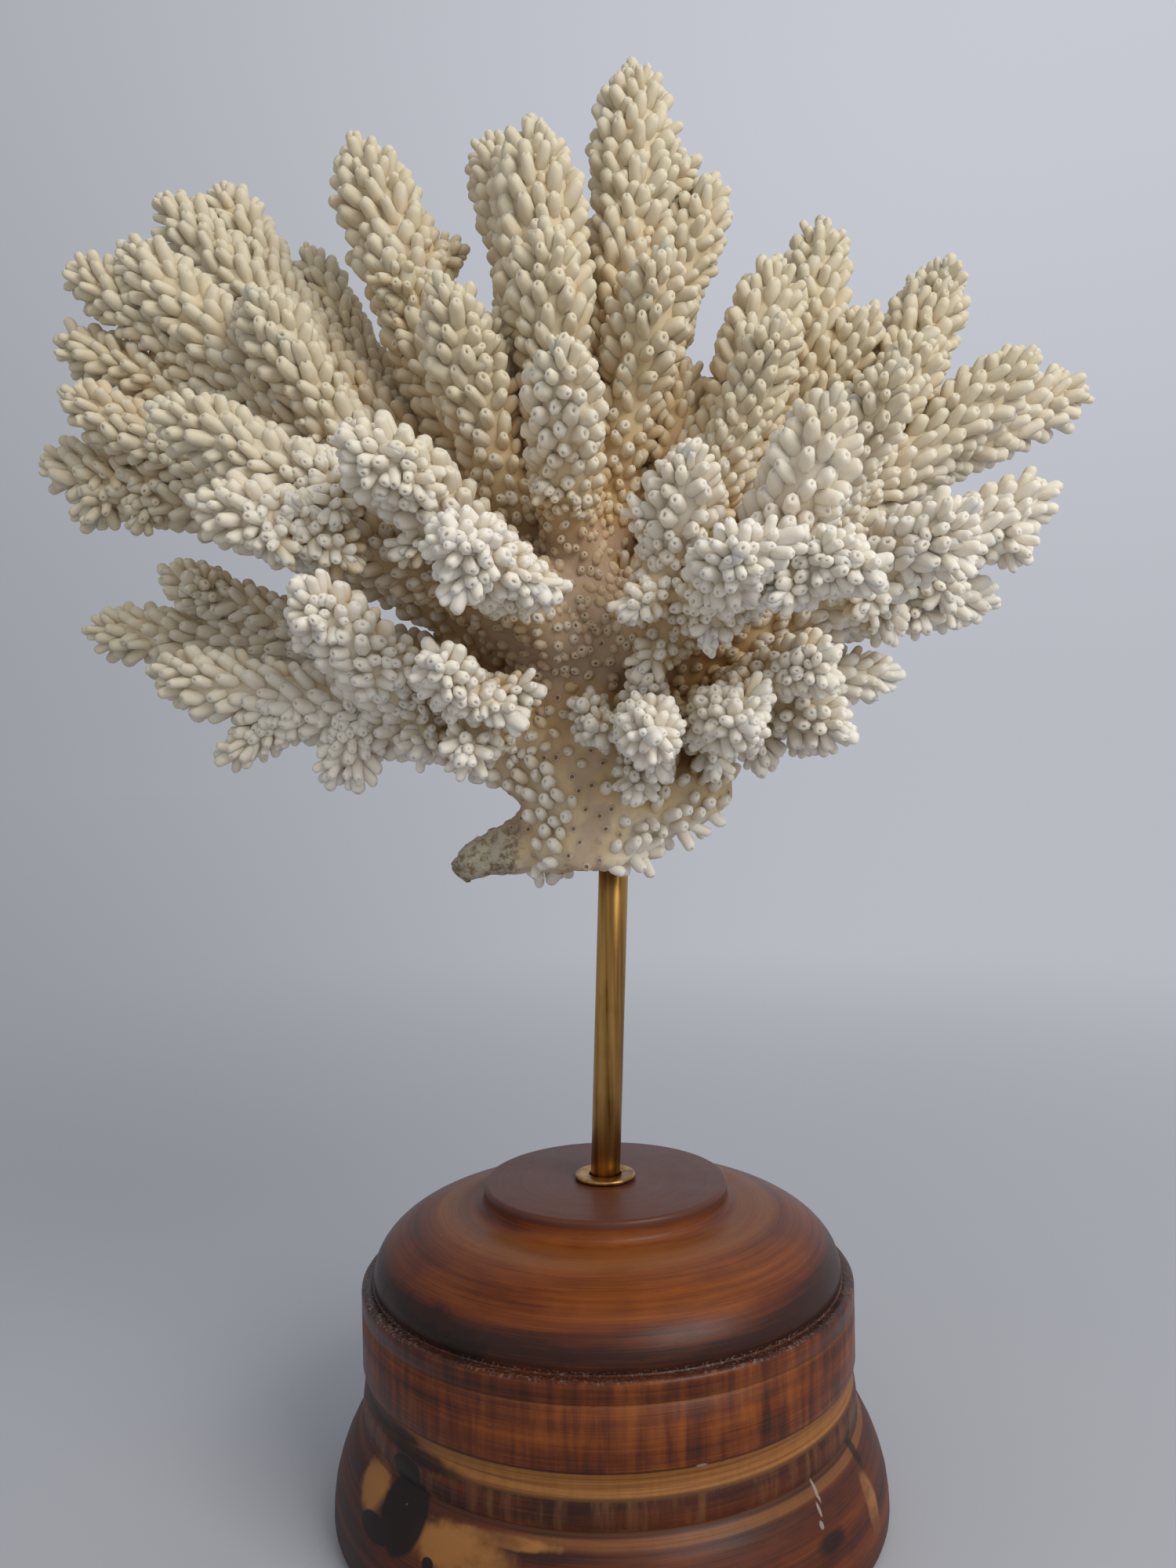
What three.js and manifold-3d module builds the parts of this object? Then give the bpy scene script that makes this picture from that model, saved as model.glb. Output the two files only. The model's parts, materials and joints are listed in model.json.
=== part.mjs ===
// A branching coral colony on a brass rod, standing on a turned wooden base.
// Units are millimetres and +Z is up. The origin is the middle of the base's underside.
// The colony spreads mostly along X, its fuller side faces -Y, and the rod leans a little towards +X.

import * as THREE from 'three';
import { mergeVertices } from 'three/addons/utils/BufferGeometryUtils.js';
import Module from 'manifold-3d';

// ---------------------------------------------------------------- driving dimensions

const GAP = 0.3;                       // clearance between pieces that touch

const BASE_HEIGHT = 64;
const BASE_FOOT_RADIUS = 55.5;
const BASE_DRUM_RADIUS = 49.4;
const BASE_DOME_RADIUS = 47;
const BASE_TOP_RADIUS = 24.8;
const BASE_SIDES = 32;

const DOME_FOOT_HEIGHT = 47;
const DOME_TOP_HEIGHT = 59.4;
const DOME_TOP_RADIUS = 27;            // where the dome meets the cove under the top disc
const DOME_STEPS = 5;
const COVE_HEIGHT = 61;
const COVE_DEPTH = 0.4;
const DISC_CHAMFER_HEIGHT = 1;
const DISC_CHAMFER_WIDTH = 0.6;

const ROD_RADIUS = 3;
const ROD_LEAN = THREE.MathUtils.degToRad(2.6);
const ROD_IN_BASE = 16;                // length hidden in the base
const ROD_SHOWING = 64;                // length between the base and the coral
const ROD_IN_CORAL = 12;               // length hidden in the coral
const ROD_SIDES = 20;
const SOCKET_OVERRUN = 10;             // how far the socket's cutter stands out of the base
const BORE_OVERRUN = 20;               // how far the bore's cutter hangs out of the coral

const WASHER_RADIUS = 6.2;
const WASHER_THICKNESS = 0.8;
const WASHER_BORE = ROD_RADIUS + GAP + 0.1;
const WASHER_CHAMFER_HEIGHT = 0.2;
const WASHER_CHAMFER_WIDTH = 0.3;
const WASHER_SIDES = 20;

const STEM_SIDES = 10;
const BRANCH_SIDES = 7;
const STATION_SPACING = 24;            // distance between the rings of a branch
const TIP_LENGTH = 1.8;                // a round tip's length in tip radii
const TIP_SHARE = 0.4;                 // the most of a branch that its tip takes up
const TIP_OUTLINE = [[0.55, 0.84], [0.86, 0.5]]; // how far along the tip, how wide
const FRAME_STEPS = 60;                // frames worked out along a branch's curve
const ELBOW_SHARE = 0.4;               // how far out a side branch bends
const ELBOW_LEAD = 0.12;               // how far its bend leads along the main branch
const SIDE_ROOT_SWELL = 1.02;
const MERGE_DISTANCE = 1e-3;

// ---------------------------------------------------------------- finishes

const CORAL_WHITE = { color: 0xe9dfc6, roughness: 0.62, metalness: 0 };
const CORAL_STEM = { color: 0xcfc6b6, roughness: 0.75, metalness: 0 };
const STAINED_WOOD = { color: 0x6d3418, roughness: 0.35, metalness: 0 };
const BRASS = { color: 0xb08a45, roughness: 0.3, metalness: 1 };

// ---------------------------------------------------------------- the colony's branches

// Each main branch leaves the stem and runs to its own tip. A route is a list of points
// from inside the stem outwards; girth is the radius over the corallites, root then tip.
const MAIN_BRANCHES = [
  { name: 'branch_left_top', girth: [9, 6.8],
    route: [[-6, 5, 180], [-32, 13, 208], [-60, 17, 236], [-95, 25, 277]] },
  { name: 'branch_left_high', girth: [10, 7],
    route: [[-6, 0, 172], [-36, 0, 197], [-67, 0, 227], [-96, 4, 258]] },
  { name: 'branch_left_out', girth: [9, 7],
    route: [[-6, 2, 168], [-44, 6, 191], [-80, 8, 205], [-118, 14, 215]] },
  { name: 'branch_left_mid', girth: [9, 6.4],
    route: [[-5, -4, 168], [-32, -11, 188], [-55, -16, 205], [-84, -20, 217]] },
  { name: 'branch_left_back', girth: [8, 5.6],
    route: [[-6, 4, 162], [-38, 8, 171], [-72, 9, 176], [-110, 15, 179]] },
  { name: 'branch_left_low', girth: [8, 6.6],
    route: [[-5, -3, 156], [-28, -9, 156], [-52, -11, 160], [-88, -10, 169]] },
  { name: 'branch_front_left', girth: [9, 8],
    route: [[-3, -5, 172], [-22, -17, 190], [-33, -31, 200], [-42, -46, 204]] },
  { name: 'branch_front_star', girth: [8, 6.4],
    route: [[-6, -6, 172], [-14, -22, 180], [-19, -40, 184], [-23, -60, 184]] },
  { name: 'branch_crown_left', girth: [10, 9.6],
    route: [[-6, 3, 182], [-20, 6, 206], [-33, 10, 238], [-50, 15, 285]] },
  { name: 'branch_crown_mid', girth: [10, 9.8],
    route: [[-4, 0, 182], [-7, 0, 212], [-9, 2, 242], [-11, 5, 283]] },
  { name: 'branch_crown_high', girth: [10, 9.4],
    route: [[0, 4, 182], [5, 9, 214], [9, 13, 246], [11, 20, 302]] },
  { name: 'branch_front_right', girth: [9, 7.6],
    route: [[2, -6, 170], [20, -22, 178], [36, -36, 190], [38, -46, 213]] },
  { name: 'branch_right_high', girth: [9, 8.2],
    route: [[4, 0, 176], [19, -3, 195], [30, -2, 216], [39, 5, 253]] },
  { name: 'branch_right_back', girth: [8, 6.8],
    route: [[4, 6, 176], [27, 11, 200], [45, 13, 226], [51, 22, 268]] },
  { name: 'branch_right_mid', girth: [9, 6.4],
    route: [[5, 1, 170], [36, 1, 190], [63, 1, 208], [91, 0, 231]] },
  { name: 'branch_right_low', girth: [9, 7],
    route: [[5, -3, 165], [34, -7, 174], [62, -6, 186], [93, -5, 203]] },
  { name: 'branch_right_under', girth: [9, 5],
    route: [[5, -1, 156], [22, -4, 160], [38, -4, 165], [62, -5, 165]] },
  { name: 'branch_back_left', girth: [9, 6.6],
    route: [[-6, 8, 170], [-26, 26, 192], [-44, 40, 212], [-58, 52, 236]] },
  { name: 'branch_back_mid', girth: [9, 7.4],
    route: [[0, 9, 174], [0, 28, 200], [-2, 44, 224], [-2, 56, 252]] },
  { name: 'branch_back_right', girth: [9, 6.6],
    route: [[5, 8, 170], [28, 26, 190], [46, 42, 206], [62, 54, 226]] },
];

// A side branch forks from a main branch, at a fraction of its length, and runs to its tip.
const SIDE_BRANCHES = [
  { name: 'fork_left_top_inner', on: 'branch_left_top', at: 0.5, tip: [-84, 33, 282], girth: 6.6 },
  { name: 'fork_left_top_back', on: 'branch_left_top', at: 0.3, tip: [-64, 31, 267], girth: 5 },
  { name: 'fork_left_high_outer', on: 'branch_left_high', at: 0.5, tip: [-108, 6, 254], girth: 5.6 },
  { name: 'fork_left_high_low', on: 'branch_left_high', at: 0.42, tip: [-113, 10, 240], girth: 5.2 },
  { name: 'fork_left_high_front', on: 'branch_left_high', at: 0.42, tip: [-64, -16, 241], girth: 7.2 },
  { name: 'fork_left_out_upper', on: 'branch_left_out', at: 0.5, tip: [-108, 0, 227], girth: 6 },
  { name: 'fork_left_mid_low', on: 'branch_left_mid', at: 0.35, tip: [-73, -31, 196], girth: 7.6 },
  { name: 'fork_left_back_upper', on: 'branch_left_back', at: 0.5, tip: [-90, 4, 191], girth: 5.6 },
  { name: 'fork_left_low_front', on: 'branch_left_low', at: 0.3, tip: [-51, -40, 182], girth: 7 },
  { name: 'fork_left_low_inner', on: 'branch_left_low', at: 0.14, tip: [-27, -48, 167], girth: 5.2 },
  { name: 'fork_crown_left_front', on: 'branch_crown_left', at: 0.12, tip: [-28, -20, 241], girth: 8.2 },
  { name: 'fork_crown_mid_back', on: 'branch_crown_mid', at: 0.4, tip: [-21, 25, 288], girth: 7.4 },
  { name: 'fork_crown_mid_front', on: 'branch_crown_mid', at: 0.25, tip: [-8, -21, 250], girth: 8.8 },
  { name: 'fork_crown_mid_low', on: 'branch_crown_mid', at: 0.05, tip: [-5, -45, 219], girth: 7.2 },
  { name: 'fork_crown_high_right', on: 'branch_crown_high', at: 0.4, tip: [29, 15, 274], girth: 8 },
  { name: 'fork_crown_high_front', on: 'branch_crown_high', at: 0.2, tip: [15, -20, 246], girth: 7.6 },
  { name: 'fork_front_right_up', on: 'branch_front_right', at: 0.18, tip: [15, -45, 203], girth: 7 },
  { name: 'fork_front_right_star', on: 'branch_front_right', at: 0.3, tip: [22, -60, 181], girth: 6.2 },
  { name: 'fork_front_right_low', on: 'branch_front_right', at: 0.5, tip: [41, -56, 179], girth: 5.8 },
  { name: 'fork_right_high_front', on: 'branch_right_high', at: 0.4, tip: [36, -20, 232], girth: 5.4 },
  { name: 'fork_right_back_outer', on: 'branch_right_back', at: 0.45, tip: [62, 12, 245], girth: 6.2 },
  { name: 'fork_right_mid_back', on: 'branch_right_mid', at: 0.5, tip: [79, 26, 258], girth: 8.2 },
  { name: 'fork_right_mid_up', on: 'branch_right_mid', at: 0.5, tip: [67, -5, 235], girth: 6.2 },
  { name: 'fork_right_mid_front', on: 'branch_right_mid', at: 0.42, tip: [56, -25, 222], girth: 6 },
  { name: 'fork_right_mid_outer', on: 'branch_right_mid', at: 0.58, tip: [110, 25, 230], girth: 6.8 },
  { name: 'fork_right_low_front', on: 'branch_right_low', at: 0.35, tip: [67, -36, 193], girth: 6.8 },
  { name: 'fork_right_low_under', on: 'branch_right_low', at: 0.5, tip: [83, 5, 180], girth: 6 },
  { name: 'fork_right_under_ledge', on: 'branch_right_under', at: 0.2, tip: [42, -35, 168], girth: 5 },
  { name: 'fork_right_under_left', on: 'branch_right_under', at: 0, tip: [8, -48, 153], girth: 5.8 },
  { name: 'fork_right_under_front', on: 'branch_right_under', at: 0.15, tip: [25, -44, 154], girth: 5.8 },
  { name: 'fork_right_under_outer', on: 'branch_right_under', at: 0.4, tip: [46, -28, 152], girth: 5.6 },
  { name: 'fork_back_left_out', on: 'branch_back_left', at: 0.4, tip: [-72, 44, 214], girth: 6 },
  { name: 'fork_back_mid_low', on: 'branch_back_mid', at: 0.2, tip: [-16, 62, 208], girth: 6.4 },
  { name: 'fork_back_right_out', on: 'branch_back_right', at: 0.35, tip: [30, 64, 206], girth: 6.2 },
];

// ---------------------------------------------------------------- solids

const manifoldLibrary = await Module();
manifoldLibrary.setup();

/** Turns a closed geometry into a manifold solid. */
function toSolid(geometry) {
  const bare = geometry.clone();
  bare.deleteAttribute('normal');
  bare.deleteAttribute('uv');
  const merged = mergeVertices(bare, MERGE_DISTANCE);
  return new manifoldLibrary.Manifold(new manifoldLibrary.Mesh({
    numProp: 3,
    vertProperties: new Float32Array(merged.attributes.position.array),
    triVerts: new Uint32Array(merged.index.array),
  }));
}

/** Turns a manifold solid back into a geometry. */
function toGeometry(solid) {
  const mesh = solid.getMesh();
  const geometry = new THREE.BufferGeometry();
  geometry.setAttribute('position', new THREE.BufferAttribute(new Float32Array(mesh.vertProperties), 3));
  geometry.setIndex(new THREE.BufferAttribute(new Uint32Array(mesh.triVerts), 1));
  geometry.computeVertexNormals();
  return geometry;
}

/** Keeps the largest body of a solid that a cut may have left in several. */
function largestBody(solid) {
  const bodies = solid.decompose();
  return bodies.reduce((best, body) => (body.volume() > best.volume() ? body : best));
}

/**
 * A rounded finger along a curve: a lathed profile, bent so that its axis follows the curve.
 * `grow` swells it on every side, for the clearance round a finger that is already in place.
 */
function finger(curve, rootRadius, tipRadius, sides, grow = 0) {
  const length = curve.getLength();
  const domeLength = Math.min(tipRadius * TIP_LENGTH, length * TIP_SHARE);
  const start = -grow / length;
  const end = 1 + grow / length;
  const domeStart = 1 - domeLength / length;
  const steps = Math.max(2, Math.round((length - domeLength) / STATION_SPACING));
  const profile = [new THREE.Vector2(0, start)];
  for (let i = 0; i <= steps; i += 1) {
    const share = i / steps;
    const along = THREE.MathUtils.lerp(start, domeStart, share);
    profile.push(new THREE.Vector2(THREE.MathUtils.lerp(rootRadius, tipRadius, share) + grow, along));
  }
  for (const [reach, width] of TIP_OUTLINE) {
    profile.push(new THREE.Vector2(tipRadius * width + grow, THREE.MathUtils.lerp(domeStart, end, reach)));
  }
  profile.push(new THREE.Vector2(0, end));

  const geometry = new THREE.LatheGeometry(profile, sides);
  const position = geometry.attributes.position;
  const frames = curve.computeFrenetFrames(FRAME_STEPS, false);
  const point = new THREE.Vector3();
  for (let i = 0; i < position.count; i += 1) {
    const along = position.getY(i);
    const inside = THREE.MathUtils.clamp(along, 0, 1);
    const frame = Math.round(inside * FRAME_STEPS);
    curve.getPointAt(inside, point);
    point.addScaledVector(frames.tangents[frame], (along - inside) * length);
    point.addScaledVector(frames.normals[frame], position.getX(i));
    point.addScaledVector(frames.binormals[frame], position.getZ(i));
    position.setXYZ(i, point.x, point.y, point.z);
  }
  return outward(toSolid(geometry), geometry);
}

/** Turns the faces round where the bending left them pointing in. */
function outward(solid, geometry) {
  if (solid.volume() > 0) {
    return solid;
  }
  const bare = geometry.clone();
  const index = bare.index.array;
  for (let i = 0; i < index.length; i += 3) {
    [index[i], index[i + 1]] = [index[i + 1], index[i]];
  }
  return toSolid(bare);
}

const vector = (point) => new THREE.Vector3(...point);

// ---------------------------------------------------------------- the stand

/** A leaning cylinder on the rod's axis; heights are along the rod, from the base's top. */
function rodSolid(radius, low, high) {
  const geometry = new THREE.CylinderGeometry(radius, radius, high - low, ROD_SIDES);
  geometry.rotateX(Math.PI / 2);
  geometry.translate(0, 0, (low + high) / 2);
  geometry.rotateY(ROD_LEAN);
  geometry.translate(0, 0, BASE_HEIGHT);
  return toSolid(geometry);
}

/** The base's outline from the underside's middle, round the mouldings, to the top's middle. */
function baseProfile() {
  const outline = [
    [0, 0],
    [BASE_FOOT_RADIUS - 1.5, 0],
    [BASE_FOOT_RADIUS, 2],
    [BASE_FOOT_RADIUS - 0.2, 8],
    [BASE_FOOT_RADIUS - 2.3, 14],
    [BASE_FOOT_RADIUS - 5.4, 20.5],
    [BASE_DRUM_RADIUS - 0.2, 21.2],
    [BASE_DRUM_RADIUS, 26],
    [BASE_DRUM_RADIUS - 1.1, 27.8],
    [BASE_DRUM_RADIUS - 0.6, 30.2],
    [BASE_DRUM_RADIUS, 31],
    [BASE_DRUM_RADIUS, 45.4],
    [BASE_DRUM_RADIUS - 0.7, 46.2],
    [BASE_DOME_RADIUS, 46.2],
  ].map(([radius, height]) => new THREE.Vector2(radius, height));

  // The dome is a quarter of an ellipse that ends at the cove under the top disc.
  for (let i = 0; i <= DOME_STEPS; i += 1) {
    const angle = (i / DOME_STEPS) * (Math.PI / 2);
    outline.push(new THREE.Vector2(
      DOME_TOP_RADIUS + (BASE_DOME_RADIUS - DOME_TOP_RADIUS) * Math.cos(angle),
      DOME_FOOT_HEIGHT + (DOME_TOP_HEIGHT - DOME_FOOT_HEIGHT) * Math.sin(angle),
    ));
  }
  outline.push(new THREE.Vector2(BASE_TOP_RADIUS - COVE_DEPTH, COVE_HEIGHT));
  outline.push(new THREE.Vector2(BASE_TOP_RADIUS, BASE_HEIGHT - DISC_CHAMFER_HEIGHT));
  outline.push(new THREE.Vector2(BASE_TOP_RADIUS - DISC_CHAMFER_WIDTH, BASE_HEIGHT));
  outline.push(new THREE.Vector2(0, BASE_HEIGHT));
  return outline;
}

function makeBase() {
  const turned = new THREE.LatheGeometry(baseProfile(), BASE_SIDES);
  turned.rotateX(Math.PI / 2);
  const socket = rodSolid(ROD_RADIUS + GAP, -ROD_IN_BASE - GAP, SOCKET_OVERRUN);
  return toGeometry(toSolid(turned).subtract(socket));
}

function makeWasher() {
  const low = GAP;
  const high = GAP + WASHER_THICKNESS;
  const section = [
    [WASHER_BORE, low],
    [WASHER_RADIUS, low],
    [WASHER_RADIUS, high - WASHER_CHAMFER_HEIGHT],
    [WASHER_RADIUS - WASHER_CHAMFER_WIDTH, high],
    [WASHER_BORE, high],
    [WASHER_BORE, low],
  ].map(([radius, height]) => new THREE.Vector2(radius, height));
  const washer = new THREE.LatheGeometry(section, WASHER_SIDES);
  washer.rotateX(Math.PI / 2);
  washer.translate(0, 0, BASE_HEIGHT);
  return toGeometry(toSolid(washer));
}

// ---------------------------------------------------------------- the coral

const ROD_TOP = ROD_SHOWING + ROD_IN_CORAL;

/** The stem: a stout column on the rod, with the crust that it grew on to its left and right. */
function stemSolid(grow) {
  const lobes = [
    { route: [[-1, 0, 128], [-3, 0, 145], [-3, 0, 162], [-2, 1, 190]], girth: [12.5, 15.5] },
    { route: [[-6, 0, 135], [-14, 0, 133], [-22, -1, 130], [-31, -1, 128]], girth: [9, 4.4] },
    { route: [[-4, 0, 146], [-12, 0, 149], [-18, 0, 152], [-29, 0, 156]], girth: [11, 8] },
    { route: [[2, 0, 141], [10, 0, 142], [16, 0, 143], [28, 0, 146]], girth: [11, 9] },
  ];
  return lobes
    .map(({ route, girth }) => {
      const curve = new THREE.CatmullRomCurve3(route.map(vector));
      return finger(curve, ...girth, STEM_SIDES, grow);
    })
    .reduce((whole, lobe) => whole.add(lobe));
}

/** Every branch's curve and girth, main branches first, in the order that they are cut to fit. */
function branchPlans() {
  const curves = new Map();
  const plans = [];
  for (const { name, route, girth } of MAIN_BRANCHES) {
    const curve = new THREE.CatmullRomCurve3(route.map(vector));
    curves.set(name, curve);
    plans.push({ name, curve, girth });
  }
  for (const { name, on, at, tip, girth } of SIDE_BRANCHES) {
    const parent = curves.get(on);
    const root = parent.getPointAt(at);
    const end = vector(tip);
    const reach = root.distanceTo(end);
    const elbow = root.clone().lerp(end, ELBOW_SHARE);
    elbow.addScaledVector(parent.getTangentAt(at), reach * ELBOW_LEAD);
    const curve = new THREE.QuadraticBezierCurve3(root, elbow, end);
    plans.push({ name, curve, girth: [girth * SIDE_ROOT_SWELL, girth] });
  }
  return plans;
}

/** Cuts each branch clear of the stem and of the branches before it. */
function fitBranches() {
  const placed = [{ swollen: stemSolid(GAP) }];
  const fitted = [];
  for (const { name, curve, girth } of branchPlans()) {
    let solid = finger(curve, ...girth, BRANCH_SIDES);
    for (const { swollen } of placed) {
      if (solid.intersect(swollen).volume() > 0) {
        solid = largestBody(solid.subtract(swollen));
      }
    }
    placed.push({ swollen: finger(curve, ...girth, BRANCH_SIDES, GAP) });
    fitted.push({ name, solid });
  }
  return fitted;
}

// ---------------------------------------------------------------- the object

const object = new THREE.Group();
object.name = 'branching_coral_on_stand';

function addPiece(name, geometry, finish) {
  const mesh = new THREE.Mesh(geometry, new THREE.MeshStandardMaterial(finish));
  mesh.name = name;
  object.add(mesh);
}

addPiece('turned_base', makeBase(), STAINED_WOOD);
addPiece('brass_washer', makeWasher(), BRASS);
addPiece('brass_rod', toGeometry(rodSolid(ROD_RADIUS, -ROD_IN_BASE, ROD_TOP)), BRASS);

const rodBore = rodSolid(ROD_RADIUS + GAP, ROD_SHOWING - BORE_OVERRUN, ROD_TOP + GAP);
addPiece('coral_stem', toGeometry(stemSolid(0).subtract(rodBore)), CORAL_STEM);
for (const { name, solid } of fitBranches()) {
  addPiece(name, toGeometry(solid), CORAL_WHITE);
}

export default object;
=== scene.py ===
"""A bleached branching coral on a brass rod, above a turned and stained wooden base.

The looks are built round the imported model: metres, +Z up, the origin at the middle of the
base's underside. The colony is one fused skeleton, with every corallite a tube of its own.
"""

import json
import logging
import math
from dataclasses import dataclass, field
from enum import Enum
from typing import Optional, Sequence, Union

import bmesh
import bpy
import numpy as np
from mathutils import Matrix, Vector, noise
from mathutils.bvhtree import BVHTree
from mathutils.kdtree import KDTree

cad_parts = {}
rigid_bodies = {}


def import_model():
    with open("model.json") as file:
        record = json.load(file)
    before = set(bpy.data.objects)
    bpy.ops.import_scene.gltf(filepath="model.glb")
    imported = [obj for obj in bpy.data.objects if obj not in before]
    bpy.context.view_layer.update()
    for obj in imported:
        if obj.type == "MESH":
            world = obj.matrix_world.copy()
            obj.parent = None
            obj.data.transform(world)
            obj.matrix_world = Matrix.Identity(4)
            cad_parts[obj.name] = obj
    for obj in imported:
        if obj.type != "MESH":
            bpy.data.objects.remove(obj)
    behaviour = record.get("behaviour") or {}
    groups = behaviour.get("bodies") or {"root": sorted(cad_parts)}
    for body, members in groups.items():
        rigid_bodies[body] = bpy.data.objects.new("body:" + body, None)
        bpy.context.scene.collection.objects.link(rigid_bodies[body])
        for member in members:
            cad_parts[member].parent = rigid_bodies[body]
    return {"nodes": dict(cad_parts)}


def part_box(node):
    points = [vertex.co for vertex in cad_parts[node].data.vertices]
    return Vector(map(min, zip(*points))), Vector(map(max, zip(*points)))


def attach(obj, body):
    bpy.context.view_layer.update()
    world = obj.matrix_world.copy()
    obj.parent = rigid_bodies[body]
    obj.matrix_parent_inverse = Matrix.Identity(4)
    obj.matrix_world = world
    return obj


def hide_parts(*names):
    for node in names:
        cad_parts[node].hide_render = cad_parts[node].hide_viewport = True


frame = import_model()

MM = 0.001
GOLDEN_ANGLE = math.pi * (3 - math.sqrt(5))
log = logging.getLogger("coral")

Colour = tuple[float, float, float]
Number = Union[float, "Signal"]


# ------------------------------------------------------------------ shader maths


class Signal:
    """A socket's value; arithmetic on it adds the Math nodes that work it out."""

    def __init__(self, graph: "Graph", socket: bpy.types.NodeSocket) -> None:
        """Wraps one output socket of a graph."""
        self.graph = graph
        self.socket = socket

    def _math(self, operation: str, *values: Number) -> "Signal":
        """Adds one Math node over the given values."""
        return self.graph.node("ShaderNodeMath", {"operation": operation}, dict(enumerate(values)))

    def __add__(self, other: Number) -> "Signal":
        """Sum."""
        return self._math("ADD", self, other)

    __radd__ = __add__

    def __sub__(self, other: Number) -> "Signal":
        """Difference."""
        return self._math("SUBTRACT", self, other)

    def __rsub__(self, other: Number) -> "Signal":
        """Difference, with the signal on the right."""
        return self._math("SUBTRACT", other, self)

    def __mul__(self, other: Number) -> "Signal":
        """Product."""
        return self._math("MULTIPLY", self, other)

    __rmul__ = __mul__

    def __truediv__(self, other: Number) -> "Signal":
        """Quotient."""
        return self._math("DIVIDE", self, other)

    def __pow__(self, other: Number) -> "Signal":
        """Power."""
        return self._math("POWER", self, other)

    def root(self) -> "Signal":
        """Square root."""
        return self._math("SQRT", self)

    def size(self) -> "Signal":
        """Absolute value."""
        return self._math("ABSOLUTE", self)

    def largest(self, other: Number) -> "Signal":
        """The larger of two values."""
        return self._math("MAXIMUM", self, other)

    def ramp(self, low: float, high: float) -> "Signal":
        """Goes smoothly from 0 at low to 1 at high, whichever of the two is larger."""
        if low > high:
            return 1 - self.ramp(high, low)
        settings = {"interpolation_type": "SMOOTHSTEP"}
        inputs = {"Value": self, "From Min": low, "From Max": high}
        return self.graph.node("ShaderNodeMapRange", settings, inputs)

    def band(self, centre: float, half_width: float, soft: float) -> "Signal":
        """1 within half_width of centre, falling to 0 over soft."""
        return (self - centre).size().ramp(half_width + soft, half_width)


class Graph:
    """The nodes of a material or a world, made one at a time."""

    def __init__(self, owner: Union[bpy.types.Material, bpy.types.World]) -> None:
        """Empties the owner's nodes."""
        owner.use_nodes = True
        self.owner = owner
        self.tree = owner.node_tree
        self.tree.nodes.clear()

    @classmethod
    def material(cls, name: str) -> "Graph":
        """Starts a new material."""
        return cls(bpy.data.materials.new(name))

    def node(self, kind: str, settings: Optional[dict] = None, inputs: Optional[dict] = None,
             output: Union[int, str] = 0) -> Signal:
        """Adds one node.

        Args:
            kind: the node's type.
            settings: its properties, set before its sockets; "stops" fills a colour ramp.
            inputs: values or signals by socket name or number.
            output: the output socket to return.
        Returns:
            The chosen output.
        """
        made = self.tree.nodes.new(kind)
        for key, value in (settings or {}).items():
            if key == "stops":
                self._fill_ramp(made.color_ramp, value)
            else:
                setattr(made, key, value)
        for key, value in (inputs or {}).items():
            if isinstance(value, Signal):
                self.tree.links.new(value.socket, made.inputs[key])
            else:
                made.inputs[key].default_value = value
        return Signal(self, made.outputs[output]) if made.outputs else Signal(self, None)

    @staticmethod
    def _fill_ramp(ramp: bpy.types.ColorRamp, stops: Sequence[tuple[float, Colour]]) -> None:
        """Sets a colour ramp's stops."""
        while len(ramp.elements) < len(stops):
            ramp.elements.new(0.5)
        for element, (position, colour) in zip(ramp.elements, stops):
            element.position = position
            element.color = (*colour, 1)

    def colours(self, factor: Signal, stops: Sequence[tuple[float, Colour]]) -> Signal:
        """A colour that runs through stops as factor goes from 0 to 1."""
        return self.node("ShaderNodeValToRGB", {"stops": stops}, {"Fac": factor})

    def mix(self, factor: Number, low: Union[Signal, Colour], high: Union[Signal, Colour],
            blend: str = "MIX") -> Signal:
        """Mixes two colours."""
        settings = {"data_type": "RGBA", "blend_type": blend, "clamp_factor": True}
        low = low if isinstance(low, Signal) else (*low, 1)
        high = high if isinstance(high, Signal) else (*high, 1)
        return self.node("ShaderNodeMix", settings, {0: factor, 6: low, 7: high}, output=2)

    def place(self) -> Signal:
        """The point's place on the object, in metres."""
        return self.node("ShaderNodeTexCoord", output="Object")

    def split(self, place: Signal) -> list[Signal]:
        """A vector's X, Y and Z."""
        parts = self.node("ShaderNodeSeparateXYZ", None, {0: place}).socket.node.outputs
        return [Signal(self, part) for part in parts]

    def noise(self, place: Signal, scale: float, detail: float = 3, rough: float = 0.55,
              distortion: float = 0) -> Signal:
        """Fractal noise, about 0.5 on average."""
        return self.node("ShaderNodeTexNoise", None, {
            "Vector": place, "Scale": scale, "Detail": detail, "Roughness": rough,
            "Distortion": distortion,
        })

    def stretched(self, place: Signal, across: float, along: float, detail: float, rough: float,
                  distortion: float = 0) -> Signal:
        """Fractal noise at one scale across and at another along Z."""
        scale = {"Vector": place, "Scale": (across, across, along)}
        return self.noise(self.node("ShaderNodeMapping", None, scale), 1, detail, rough, distortion)

    def attribute(self, name: str) -> Signal:
        """A number stored on the mesh."""
        return self.node("ShaderNodeAttribute", {"attribute_name": name}, output="Fac")

    def bump(self, height: Signal, strength: float, distance: float) -> Signal:
        """A bumped normal."""
        inputs = {"Height": height, "Strength": strength, "Distance": distance}
        return self.node("ShaderNodeBump", None, inputs)

    def finish(self, **inputs: object) -> bpy.types.Material:
        """Ends in a Principled shader whose sockets are given with _ for a space."""
        named = {key.replace("_", " "): value for key, value in inputs.items()}
        shader = self.node("ShaderNodeBsdfPrincipled", None, named)
        self.node("ShaderNodeOutputMaterial", None, {"Surface": shader})
        return self.owner


# ------------------------------------------------------------------ finishes


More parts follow.
